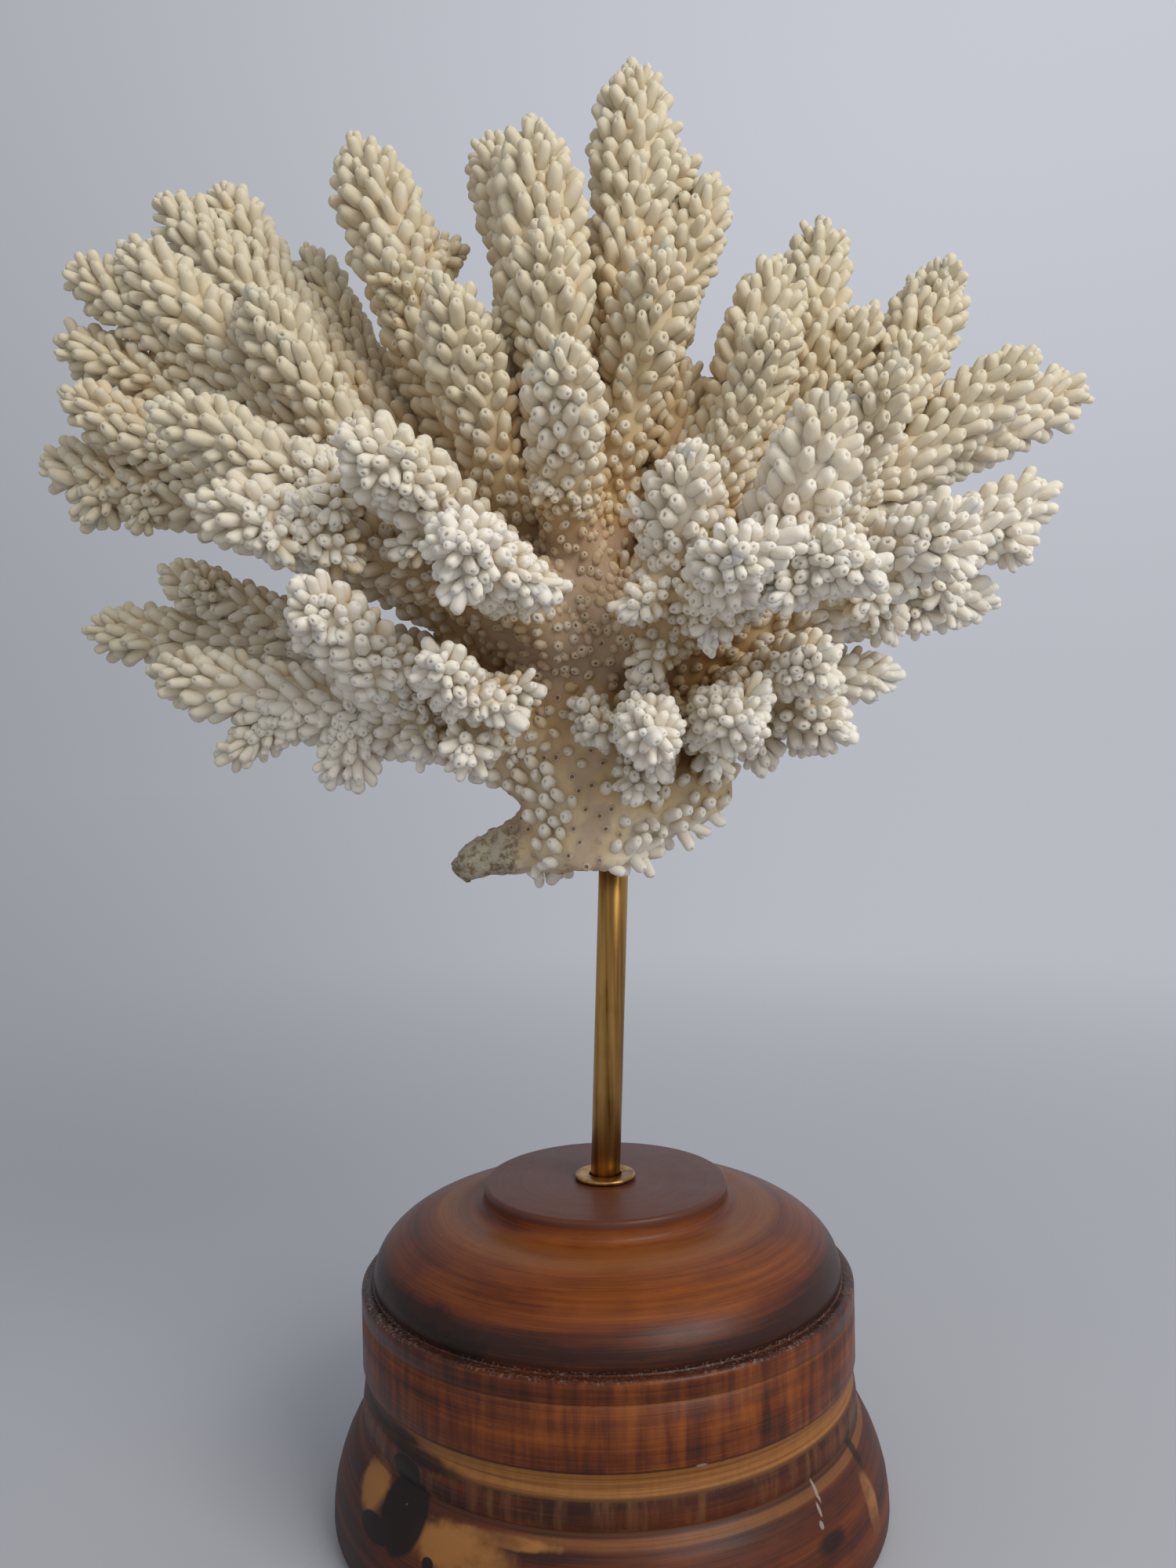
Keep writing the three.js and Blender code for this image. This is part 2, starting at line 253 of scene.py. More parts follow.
@dataclass(frozen=True)
class CoralFinish:
    """Waxy, slightly see-through coral: white at the tubes' ends, with painted shade that turns it tan down
    between them and brown in the crevices.
    """

    tip: Colour = (0.69, 0.627, 0.478)
    # Partly real bleaching, partly painted light: the whiter colour of the open parts on the window's side.
    bleached_and_lit: Colour = (0.86, 0.808, 0.715)
    cream: Colour = (0.68, 0.53, 0.315)
    # tan is a step of the painted shade ramp below, and also the tint of the real fine grain.
    tan: Colour = (0.45, 0.255, 0.088)
    # Painted shade: the brown of the deepest crevices.
    crevice_shade: Colour = (0.25, 0.11, 0.032)
    stem: Colour = (0.50, 0.375, 0.275)
    crust: Colour = (0.42, 0.39, 0.30)
    lichen: Colour = (0.16, 0.12, 0.055)
    # Painted shade: the dark brown inside the corallites' mouths and the stem's pores.
    cup: Colour = (0.20, 0.12, 0.06)
    scatter_radius: tuple[float, float, float] = (0.0022, 0.0017, 0.0011)
    lit_white_below: tuple[float, float] = (0.235, 0.185)
    lit_white_right_of: tuple[float, float] = (-0.10, -0.04)
    broken_left_of: tuple[float, float] = (-0.0145, -0.0185)
    broken_below: tuple[float, float] = (0.1385, 0.1345)

    def material(self) -> bpy.types.Material:
        """Builds the material."""
        g = Graph.material("coral")
        place = g.place()
        growth = g.attribute("growth")
        relief = g.attribute("relief")
        cup = g.attribute("cup")
        # Openness is the share of directions that see out of the colony; where it is low the colour darkens
        # as painted shade.
        openness = g.attribute("openness") ** 0.75
        broad = g.noise(place, 26, 3)
        fine = g.noise(place, 420, 4, 0.6)
        # Lightness mixes real tone (growth and broad noise) with painted shade (low openness in crevices,
        # low relief at the corallites' feet).
        lightness = growth * 0.24 + relief * 0.28 + openness * 0.56 + (broad - 0.5) * 0.55 - 0.01
        colour = g.colours(lightness, [
            (0.02, self.crevice_shade),
            (0.24, self.tan),
            (0.56, self.cream),
            (0.96, self.tip),
        ])
        x, _, height = g.split(place)
        # Partly real bleaching, partly painted light: open parts on the right and below the crown are
        # whitened on the window's side.
        white = lightness.ramp(0.54, 0.92) * (height + (broad - 0.5) * 0.08).ramp(*self.lit_white_below)
        colour = g.mix(white * 0.95 * x.ramp(*self.lit_white_right_of), colour, self.bleached_and_lit)
        stem = (1 - growth).ramp(0.78, 1.0)
        colour = g.mix(stem * (0.8 - relief * 0.35), colour, self.stem)
        # Painted shade in the mouths and pores, deepest on the old stem.
        colour = g.mix(cup * (0.22 + stem * 0.7 - growth * 0.08), colour, self.cup)
        colour = g.mix((fine - 0.5) * 0.4 + 0.06, colour, self.tan, "MULTIPLY")
        flakes = g.noise(place, 520, 4, 0.65)
        edge = (flakes - 0.5) * 0.006
        broken = (x + edge).ramp(*self.broken_left_of) * (height + edge).ramp(*self.broken_below)
        colour = g.mix(broken * 0.9, colour, g.mix(flakes.ramp(0.36, 0.56), self.lichen, self.crust))
        normal = g.bump(fine * 0.2 + flakes * broken * 4.0, 0.5, 0.0006)
        return g.finish(
            Base_Color=colour, Roughness=0.56 + (fine - 0.5) * 0.3, Normal=normal,
            Subsurface_Weight=0.4, Subsurface_Radius=self.scatter_radius, Subsurface_Scale=1.0,
            Specular_IOR_Level=0.30,
        )


@dataclass(frozen=True)
class Mark:
    """A mark on the turned wood: the way it faces in degrees from the front, its height and its reach."""

    bearing: float
    height: float
    half_width: float
    half_height: float


@dataclass(frozen=True)
class Zone:
    """A ring round the turned wood: its middle's height, its reach and how softly it ends, in mm."""

    middle: float
    half_height: float
    soft: float

    def cover(self, height: Signal) -> Signal:
        """1 inside the ring, 0 outside."""
        return height.band(self.middle, self.half_height, self.soft)


class WoodPattern:
    """Where a point lies on the turned wood, in millimetres and degrees, and its grain there."""

    def __init__(self, g: Graph) -> None:
        """Works everything out once for one material."""
        self.g = g
        self.place = g.place()
        x, y, self.height = (part * 1000 for part in g.split(self.place))
        self.radius = (x * x + y * y).root()
        bearing = g.node("ShaderNodeMath", {"operation": "ARCTAN2"}, {0: x, 1: 0 - y})
        self.bearing = bearing * (180 / math.pi)
        self.around = x / self.radius.largest(0.5)
        self.turned = self._lathed(1.6, 0.9, 5, 0.68)
        self.hairlines = self._lathed(5.5, 2.2, 3, 0.6)
        self.bands = self._lathed(0.26, 1.3, 4, 0.62)
        self.broad = g.stretched(self.place, 16, 34, 3, 0.55, 0.3)
        self.blotch = g.stretched(self.place, 60, 110, 4, 0.65)
        self.strokes = g.stretched(self.place, 620, 70, 3, 0.55)
        self.drips = g.stretched(self.place, 230, 26, 2, 0.5)
        self.edge = g.stretched(self.place, 260, 150, 3, 0.6)

    def _lathed(self, fineness: float, turns: float, detail: float, rough: float) -> Signal:
        """Noise drawn out round the lathe's axis."""
        wound = {0: self.radius * fineness, 1: self.around * turns, 2: self.height * fineness}
        return self.g.noise(self.g.node("ShaderNodeCombineXYZ", None, wound), 1, detail, rough)


@dataclass(frozen=True)
class WoodFinish:
    """Turned wood under a red-brown stain and wax, bare and yellow where the gouge broke through."""

    black: Colour = (0.012, 0.006, 0.005)
    dark: Colour = (0.030, 0.010, 0.006)
    red: Colour = (0.105, 0.023, 0.006)
    orange: Colour = (0.235, 0.062, 0.009)
    bare: Colour = (0.335, 0.142, 0.036)
    brown: Colour = (0.13, 0.05, 0.016)
    amber: Colour = (0.20, 0.088, 0.032)
    purple: Colour = (0.058, 0.019, 0.012)
    pale_purple: Colour = (0.125, 0.045, 0.028)
    dust: Colour = (0.33, 0.27, 0.23)
    mean_radius: float = 50
    # The bearing towards which the painted light on the dome and the drum is brightest.
    front: float = 4
    dome_foot: float = 46.0
    disc_foot: float = 62.0
    foot_top: float = 31.0
    drum: Zone = Zone(38.3, 7.6, 0.5)
    dome_shade: Zone = Zone(46.5, 3.6, 4.6)
    bare_ring: Zone = Zone(28.5, 2.0, 0.5)
    ledge_ring: Zone = Zone(19.5, 0.5, 0.6)
    drum_line: Zone = Zone(42.1, 0.12, 0.25)
    ledge_line: Zone = Zone(20.8, 0.1, 0.25)
    dome_line: Zone = Zone(59.0, 0.2, 0.5)
    lip: Zone = Zone(23.9, 2.5, 0.4)
    grooves: tuple[Zone, ...] = (Zone(20.7, 0.25, 0.35), Zone(31.0, 0.12, 0.3), Zone(26.4, 0.1, 0.3))
    stained_dome: Zone = Zone(49.0, 2.6, 3.0)
    stained_drum: Zone = Zone(33.0, 2.0, 2.0)
    seam: Zone = Zone(46.15, 0.3, 0.2)
    dusty_seam: Zone = Zone(46.25, 0.35, 0.35)
    knots: tuple[Mark, ...] = (
        Mark(-46, 17.2, 5.6, 6.2), Mark(-52.5, 12.6, 4.8, 2.0), Mark(-36.5, 12.6, 1.2, 1.0),
        Mark(-48, 23.5, 4.2, 2.2),
    )
    chars: tuple[Mark, ...] = (
        Mark(-44, 26.6, 9.0, 1.3), Mark(-50, 28.4, 5.0, 1.2), Mark(64, 19.8, 1.2, 3.0),
        Mark(45, 12.0, 3.2, 1.6),
    )
    bare_patches: tuple[Mark, ...] = (
        Mark(-30, 15.5, 9.5, 3.4), Mark(-58, 17.5, 4.6, 3.6), Mark(-22, 18.8, 9.0, 0.9),
        Mark(62, 11.0, 2.2, 4.5),
    )
    scratches: tuple[Mark, ...] = (
        Mark(45.5, 19.4, 0.35, 1.6), Mark(44.3, 17.0, 0.3, 1.0), Mark(43.5, 15.0, 0.45, 0.6),
        Mark(17.5, 30.9, 1.0, 0.25),
    )

    def covered(self, wood: WoodPattern, edge: Signal, marks: Sequence[Mark], soft: float) -> Signal:
        """Where any of the marks lies, 0 to 1.

        Args:
            wood: the places on the wood.
            edge: noise that makes the marks' edges uneven.
            marks: the marks.
            soft: how softly they end.
        Returns:
            The marks' cover.
        """
        cover: Number = 0.0
        degree = math.radians(1) * self.mean_radius
        for mark in marks:
            across = (wood.bearing - mark.bearing) * (degree / mark.half_width)
            along = (wood.height - mark.height) * (1 / mark.half_height)
            far = (across * across + along * along).root() + (edge - 0.5) * 0.9
            cover = far.ramp(1 + soft, 1 - soft).largest(cover)
        return cover

    def stained(self, wood: WoodPattern) -> Signal:
        """The stain's colour: orange-red on the dome, darker on the drum and the foot, with painted light
        that brightens the dome and the drum towards the front and painted shade low on the dome.
        """
        g, height, bearing = wood.g, wood.height, wood.bearing
        on_dome = height.ramp(self.dome_foot, self.dome_foot + 0.6)
        on_disc = height.ramp(self.disc_foot, self.disc_foot + 0.6)
        on_foot = height.ramp(self.foot_top, self.foot_top - 1)
        from_lit_front = (bearing - self.front).size()
        warmth = wood.turned * 0.5 + wood.bands * 0.75 + wood.broad * 0.36 + wood.blotch * 0.46
        # Painted light: the dome turns warmer and brighter towards the front.
        warmth = warmth + from_lit_front.ramp(75, 5) * 0.24 * on_dome - 0.56
        warmth = warmth + height.ramp(47, 58) * 0.06
        warmth = warmth - self.dome_shade.cover(height) * 0.34 * on_dome - on_foot * 0.02
        runs = (wood.drips - 0.5) * bearing.ramp(-30, 40) * bearing.ramp(175, 140)
        # Painted light: the drum darkens away from the front.
        drum_tone = runs + (wood.strokes - 0.5) * 0.7 + 0.20 - from_lit_front * 0.0022
        warmth = warmth + self.drum.cover(height) * drum_tone + (wood.hairlines - 0.5) * 0.34
        colour = g.colours(warmth, [(0.30, self.dark), (0.56, self.red), (0.92, self.orange)])
        return g.mix(on_disc * 0.85, colour, g.mix(wood.turned, self.purple, self.pale_purple))

    def bared(self, wood: WoodPattern, colour: Signal) -> Signal:
        """The stain broken through to bare wood, in rings and in patches."""
        g, height, bearing = wood.g, wood.height, wood.bearing
        on_dome = height.ramp(self.dome_foot, self.dome_foot + 0.6)
        rings = self.bare_ring.cover(height) * bearing.ramp(-58, -34) * bearing.ramp(176, 140)
        ledge = self.ledge_ring.cover(height) * bearing.ramp(-28, -10) * bearing.ramp(170, 130)
        rings = rings.largest(ledge * 0.5)
        rings = rings.largest(self.drum_line.cover(height) * 0.22)
        rings = rings.largest(self.ledge_line.cover(height) * 0.35)
        rings = rings.largest(self.dome_line.cover(height) * 0.35 * on_dome)
        streaked = g.mix(wood.turned.ramp(0.42, 0.78), self.bare, self.red)
        uneven = 0.66 + (wood.strokes - 0.5) * 0.5 + wood.hairlines * 0.35
        colour = g.mix(rings * uneven, colour, streaked)
        patches = self.covered(wood, wood.edge, self.bare_patches, 0.28)
        colour = g.mix(patches * 0.9, colour, g.mix(wood.blotch.ramp(0.4, 0.7), self.bare, self.brown))
        return g.mix(self.lip.cover(height) * (wood.strokes - 0.45) * 1.8, colour, self.amber)

    def darkened(self, wood: WoodPattern, colour: Signal, knot: Signal) -> Signal:
        """Dark grooves, stains, chars and the knot."""
        g, height = wood.g, wood.height
        groove: Number = 0.0
        for zone in self.grooves:
            groove = zone.cover(height).largest(groove)
        colour = g.mix(groove * 0.6, colour, self.dark)
        stain = wood.blotch.ramp(0.50, 0.62) * self.stained_dome.cover(height)
        stain = stain * wood.bearing.ramp(30, 5) * 1.2
        stain = stain.largest(wood.turned.ramp(0.66, 0.74) * self.stained_drum.cover(height)) * 0.7
        colour = g.mix(stain, colour, self.black)
        colour = g.mix(self.covered(wood, wood.edge, self.chars, 0.4) * 0.85, colour, self.black)
        colour = g.mix(knot * 0.97, colour, self.black)
        return g.mix(self.seam.cover(height) * wood.radius.ramp(46.6, 46.9) * 0.35, colour, self.black)

    def material(self) -> bpy.types.Material:
        """Builds the material."""
        g = Graph.material("stained_wood")
        wood = WoodPattern(g)
        knot = self.covered(wood, wood.edge * 0.35 + 0.32, self.knots, 0.08)
        colour = self.darkened(wood, self.bared(wood, self.stained(wood)), knot)
        grains = g.noise(wood.place, 1900, 2, 0.5).ramp(0.52, 0.68) * wood.broad.ramp(0.35, 0.6)
        grains = grains * self.dusty_seam.cover(wood.height)
        specks = g.noise(wood.place, 520, 2, 0.5).ramp(0.765, 0.79) * 0.6
        colour = g.mix((grains * 0.55).largest(specks * 0.4), colour, self.dust)
        scratched = self.covered(wood, wood.edge, self.scratches, 0.3)
        colour = g.mix(scratched * 0.75, colour, self.dust)
        relief = wood.hairlines * 0.5 + wood.turned * 0.3
        relief = relief + wood.strokes * 0.2 * self.drum.cover(wood.height)
        normal = g.bump(relief + grains * 0.8 - knot * 0.9, 0.22, 0.0003)
        on_foot = wood.height.ramp(self.foot_top, self.foot_top - 1)
        rough = 0.40 + (wood.blotch - 0.5) * 0.3 + on_foot * 0.12 + grains * 0.2
        return g.finish(
            Base_Color=colour, Roughness=rough, Normal=normal, Specular_IOR_Level=0.20,
            Coat_Weight=0.10, Coat_Roughness=0.24,
        )


@dataclass(frozen=True)
class BrassFinish:
    """Drawn brass with fine lengthwise streaks and a brown tarnish."""

    bright: Colour = (0.60, 0.335, 0.095)
    tarnish: Colour = (0.085, 0.042, 0.014)

    def material(self) -> bpy.types.Material:
        """Builds the material."""
        g = Graph.material("brass")
        place = g.place()
        streaks = g.stretched(place, 900, 22, 3, 0.6)
        patches = g.stretched(place, 120, 60, 3, 0.6)
        stripes = g.stretched(place, 330, 5, 2, 0.5).ramp(0.42, 0.62)
        tarnish = streaks.ramp(0.35, 0.75) * 0.4 + patches.ramp(0.45, 0.8) * 0.35 + stripes * 0.45
        colour = g.mix(tarnish, self.bright, self.tarnish)
        normal = g.bump(streaks, 0.12, 0.00005)
        return g.finish(Base_Color=colour, Metallic=1.0, Roughness=0.24 + patches * 0.2, Normal=normal)


@dataclass(frozen=True)
class Surroundings:
    """The plain pale room: brighter on the window's side and behind the object."""

    shaded: Colour = (0.34, 0.352, 0.385)
    bright: Colour = (0.57, 0.588, 0.645)
    front: Colour = (1.22, 1.19, 1.12)
    low: Colour = (0.84, 0.84, 0.84)

    def colour(self, g: Graph, direction: Signal) -> Signal:
        """The light that comes from a direction."""
        x, y, z = g.split(direction)
        sideways = g.mix(x.ramp(-0.75, 0.3), self.shaded, self.bright)
        sideways = g.mix(z.ramp(0.5, 0.0), sideways, g.mix(1.0, sideways, self.low, "MULTIPLY"))
        return g.mix(y.ramp(0.1, -0.9), sideways, g.mix(1.0, sideways, self.front, "MULTIPLY"))


@dataclass(frozen=True)
class FloorFinish:
    """A plain pale cloth near the object, which fades into the light all round further off."""

    colour: Colour = (0.47, 0.48, 0.51)

    def material(self) -> bpy.types.Material:
        """Builds the material."""
        g = Graph.material("floor")
        place = g.place()
        mottle = g.noise(place, 9, 3)
        colour = g.mix(mottle * 0.25, self.colour, (0.40, 0.41, 0.44))
        cloth = g.node("ShaderNodeBsdfPrincipled", None, {
            "Base Color": colour, "Roughness": 0.9, "Specular IOR Level": 0.1,
        })
        heading = g.node("ShaderNodeVectorMath", {"operation": "NORMALIZE"}, {0: place})
        far = g.node("ShaderNodeEmission", None, {"Color": Surroundings().colour(g, heading)})
        away = g.node("ShaderNodeVectorMath", {"operation": "LENGTH"}, {0: place}, "Value")
        mixed = g.node("ShaderNodeMixShader", None, {0: away.ramp(0.05, 0.8), 1: cloth, 2: far})
        g.node("ShaderNodeOutputMaterial", None, {"Surface": mixed})
        return g.owner


# ------------------------------------------------------------------ mesh helpers


def add_object(name: str, mesh: bpy.types.Mesh, material: bpy.types.Material) -> bpy.types.Object:
    """Links a mesh as a new object at the origin, shaded smooth.

    Args:
        name: the piece's name.
        mesh: its mesh, already in place.
        material: its finish.
    Returns:
        The new object.
    """
    mesh.materials.append(material)
    mesh.shade_smooth()
    made = bpy.data.objects.new(name, mesh)
    bpy.context.scene.collection.objects.link(made)
    return made


def declare(piece: bpy.types.Object, slot: str, *nodes: str) -> None:
    """Fixes a piece to the model and hides the nodes that it stands for."""
    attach(piece, "root")
    if nodes:
        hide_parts(*nodes)


def spun(name: str, outline: Sequence[tuple[float, float]], steps: int, place: Matrix) -> bpy.types.Mesh:
    """Turns an outline about its axis.

    Args:
        name: the mesh's name.
        outline: radius and height of each point, in millimetres.
        steps: how many steps the full turn takes.
        place: where the turned shape stands.
    Returns:
        The closed mesh, facing out.
    """
    bm = bmesh.new()
    points = [bm.verts.new((radius * MM, 0, height * MM)) for radius, height in outline]
    edges = [bm.edges.new(pair) for pair in zip(points, points[1:])]
    bmesh.ops.spin(bm, geom=points + edges, axis=(0, 0, 1), cent=(0, 0, 0), angle=math.tau,
                   steps=steps, use_merge=True)
    bmesh.ops.remove_doubles(bm, verts=bm.verts, dist=1e-6)
    bmesh.ops.recalc_face_normals(bm, faces=bm.faces)
    bmesh.ops.transform(bm, matrix=place, verts=bm.verts)
    mesh = bpy.data.meshes.new(name)
    bm.to_mesh(mesh)
    bm.free()
    return mesh


def arc(centre: tuple[float, float], radii: tuple[float, float], start: float, end: float,
        steps: int) -> list[tuple[float, float]]:
    """Points of an elliptical arc, angles in degrees."""
    angles = [math.radians(start + (end - start) * i / steps) for i in range(steps + 1)]
    return [(centre[0] + radii[0] * math.cos(a), centre[1] + radii[1] * math.sin(a)) for a in angles]


def unit(vectors: np.ndarray) -> np.ndarray:
    """Vectors at length 1."""
    return vectors / np.maximum(np.linalg.norm(vectors, axis=-1, keepdims=True), 1e-9)


# ------------------------------------------------------------------ the stand


@dataclass
class TurnedBase:
    """The turned wooden base: foot, drum, dome and top disc."""

    foot: float = 55.5
    drum: float = 49.4
    dome: float = 47.0
    top: float = 24.8
    turns: int = 180

    def outline(self) -> list[tuple[float, float]]:
        """Radius and height, from the underside's middle to the top's middle."""
        foot, drum = self.foot, self.drum
        points = [(0.0, 0.0), (foot - 2.0, 0.0)]
        points += arc((foot - 2.0, 2.4), (2.0, 2.4), -90, 0, 6)
        points += [(foot - 0.1, 5.0), (foot - 0.5, 8.2), (foot - 1.3, 11.2), (foot - 2.4, 14.2)]
        points += [(foot - 3.8, 17.0)]
        points += [(foot - 4.6, 18.3), (foot - 4.9, 18.5), (foot - 5.3, 19.4), (drum + 0.2, 20.3)]
        points += [(drum - 0.35, 20.9), (drum - 0.35, 21.2), (drum, 21.8)]
        points += [(drum + 0.05, 24.0), (drum - 0.2, 26.0), (drum - 1.0, 27.6), (drum - 1.1, 28.1)]
        points += [(drum - 0.8, 29.8), (drum - 0.15, 30.9), (drum, 31.4)]
        points += [(drum, 41.9), (drum - 0.25, 42.1), (drum - 0.25, 42.3), (drum, 42.5), (drum, 45.2)]
        points += arc((drum - 0.9, 45.3), (0.9, 0.9), 0, 90, 4)
        points += [(self.dome + 0.3, 46.1), (self.dome - 0.1, 45.9), (self.dome - 0.2, 46.4)]
        points += arc((27.0, 47.2), (self.dome - 27.0, 12.2), 0, 84, 16)
        points += arc((27.6, 61.2), (2.9, 1.9), 262, 190, 5)
        points += [(self.top - 0.1, 62.2)]
        points += arc((self.top - 0.9, 63.1), (0.9, 0.9), 0, 90, 5)
        points += [(12.0, 63.95), (6.0, 64.0), (0.0, 64.0)]
        return points

    def build(self, wood: bpy.types.Material) -> bpy.types.Object:
        """Makes the base."""
        mesh = spun("turned_base_visual", self.outline(), self.turns, Matrix.Identity(4))
        piece = add_object("stained_base", mesh, wood)
        declare(piece, "stained_wood", "turned_base")
        return piece


@dataclass
class BrassPost:
    """The rod and the washer round its foot."""

    radius: float = 3.0
    edge: float = 0.3
    spare: float = 0.4
    washer_radius: float = 6.2
    washer_play: float = 0.25
    washer_rounding: float = 0.4
    turns: int = 64

    def lean(self) -> Matrix:
        """The rod's own axis as the model has it: from its foot, turned to its tilt."""
        low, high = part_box("brass_rod")
        rise = high.z - low.z
        run = (high.x - low.x) - 2 * self.radius * MM
        tilt = math.atan2(run, rise)
        foot = Vector(((low.x + self.radius * MM), 0, low.z))
        return Matrix.Translation(foot) @ Matrix.Rotation(tilt, 4, "Y")

    def build(self, brass: bpy.types.Material) -> list[bpy.types.Object]:
        """Makes the rod and the washer."""
        low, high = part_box("brass_rod")
        length = (high - low).length / MM - self.spare
        inside = self.radius - self.edge
        outline = [(0, 0), (inside, 0), (self.radius, self.edge)]
        outline += [(self.radius, length - self.edge), (inside, length), (0, length)]
        rod = add_object("polished_rod", spun("rod", outline, self.turns, self.lean()), brass)
        declare(rod, "brass", "brass_rod")

        floor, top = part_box("brass_washer")
        inner = self.radius + self.washer_play
        thick = (top.z - floor.z) / MM
        ring = [(inner, 0), (self.washer_radius - 0.1, 0), (self.washer_radius, 0.15)]
        rounding = self.washer_rounding
        ring += arc((self.washer_radius - rounding, thick - rounding), (rounding, rounding), 0, 90, 5)
        ring += [(inner + 0.2, thick), (inner, thick - 0.2), (inner, 0)]
        washer_mesh = spun("washer", ring, self.turns, Matrix.Translation((0, 0, floor.z)))
        washer = add_object("domed_washer", washer_mesh, brass)
        declare(washer, "brass", "brass_washer")
        return [rod, washer]


# ------------------------------------------------------------------ branch axes


@dataclass
class Axis:
    """The middle line of a branch from its root to its tip, with its girth over the corallites."""

    name: str
    points: np.ndarray
    girth: np.ndarray

    @property
    def steps(self) -> np.ndarray:
        """Distance along the line at each of its points."""
        return np.concatenate([[0.0], np.cumsum(np.linalg.norm(np.diff(self.points, axis=0), axis=1))])

    @property
    def length(self) -> float:
        """The line's whole length."""
        return float(self.steps[-1])

    def at(self, distance: np.ndarray) -> np.ndarray:
        """Points at distances along the line."""
        steps = self.steps
        return np.stack([np.interp(distance, steps, self.points[:, i]) for i in range(3)], axis=-1)

    def girth_at(self, distance: np.ndarray) -> np.ndarray:
        """Girth at distances along the line."""
        return np.interp(distance, self.steps, self.girth)

    def tangent_at(self, distance: np.ndarray) -> np.ndarray:
        """Directions towards the tip at distances along the line."""
        reach = 2.5 * MM
        ahead = self.at(np.minimum(distance + reach, self.length))
        behind = self.at(np.maximum(distance - reach, 0))
        return unit(ahead - behind)

    def sides_at(self, distance: np.ndarray) -> tuple[np.ndarray, np.ndarray, np.ndarray]:
        """The tangent and two directions square to it, which turn as little as they can."""
        tangent = self.tangent_at(distance)
        upright = abs(tangent[:, 2].mean()) >= 0.85
        helper = np.array([1.0, 0.1, 0.0] if upright else [0.13, -0.31, 0.94])
        first = unit(np.cross(tangent, helper))
        return tangent, first, np.cross(tangent, first)


def section(triangles: np.ndarray, point: np.ndarray, normal: np.ndarray) -> tuple[np.ndarray, float]:
    """Where a plane cuts a closed surface.

    Args:
        triangles: corner places, shaped (n, 3, 3).
        point: a point on the plane.
        normal: the plane's direction.
    Returns:
        The middle of the cut, and the radius of a circle of its area.
    """
    side = (triangles - point) @ normal
    ends, weights, ring = [], [], []
    for a, b, c in ((0, 1, 2), (1, 2, 0), (2, 0, 1)):
        alone = (side[:, a] > 0) != (side[:, b] > 0)
        alone &= (side[:, a] > 0) != (side[:, c] > 0)
        if not alone.any():
            continue
        pa, pb, pc = triangles[alone, a], triangles[alone, b], triangles[alone, c]
        sa, sb, sc = side[alone, a][:, None], side[alone, b][:, None], side[alone, c][:, None]
        p = pa + (pb - pa) * (sa / (sa - sb))
        q = pa + (pc - pa) * (sa / (sa - sc))
        flip = sa[:, 0] < 0
        start, end = np.where(flip[:, None], q, p), np.where(flip[:, None], p, q)
        ends.append((start + end) / 2)
        weights.append(np.linalg.norm(end - start, axis=1))
        ring.append(np.cross(start - point, end - point) @ normal / 2)
    if not ends:
        return point, 0.0
    middles, lengths = np.concatenate(ends), np.concatenate(weights)
    area = abs(np.concatenate(ring).sum())
    return (middles * lengths[:, None]).sum(0) / max(lengths.sum(), 1e-12), math.sqrt(area / math.pi)


@dataclass
class AxisFinder:
    """Reads each branch's middle line off its CAD solid."""

    heart: np.ndarray
    cuts: int = 22
    first_cut: float = 0.06
    last_cut: float = 0.97
    full_share: float = 0.86
    tip_share: float = 0.35
    sink: float = 9 * MM

    def find(self, name: str) -> Axis:
        """The axis of one node.

        Args:
            name: the CAD node.
        Returns:
            Its middle line, run on a little into whatever it grows from.
        """
        mesh = frame["nodes"][name].data
        points = np.array([v.co for v in mesh.vertices])
        mesh.calc_loop_triangles()
        triangles = points[np.array([t.vertices for t in mesh.loop_triangles])]
        far = np.linalg.norm(points - self.heart, axis=1)
        tip, near = points[far.argmax()], points[far.argmin()]
        chord = tip - near
        shares = np.linspace(self.first_cut, self.last_cut, self.cuts)
        cuts = [section(triangles, near + chord * share, unit(chord)) for share in shares]
        middles, radii = map(np.array, zip(*cuts))
        full = radii > self.full_share * np.median(radii[len(radii) // 3:-len(radii) // 5])
        first = int(np.argmax(full & np.roll(full, -1)))
        middles, radii = middles[first:], radii[first:]
        inward = unit(middles[0] - middles[min(3, len(middles) - 1)])
        root = middles[0] + inward * (np.linalg.norm(middles[0] - near) + self.sink)
        line = np.vstack([root, middles, tip])
        return Axis(name, line, np.concatenate([[radii[0]], radii, [radii[-1] * self.tip_share]]))


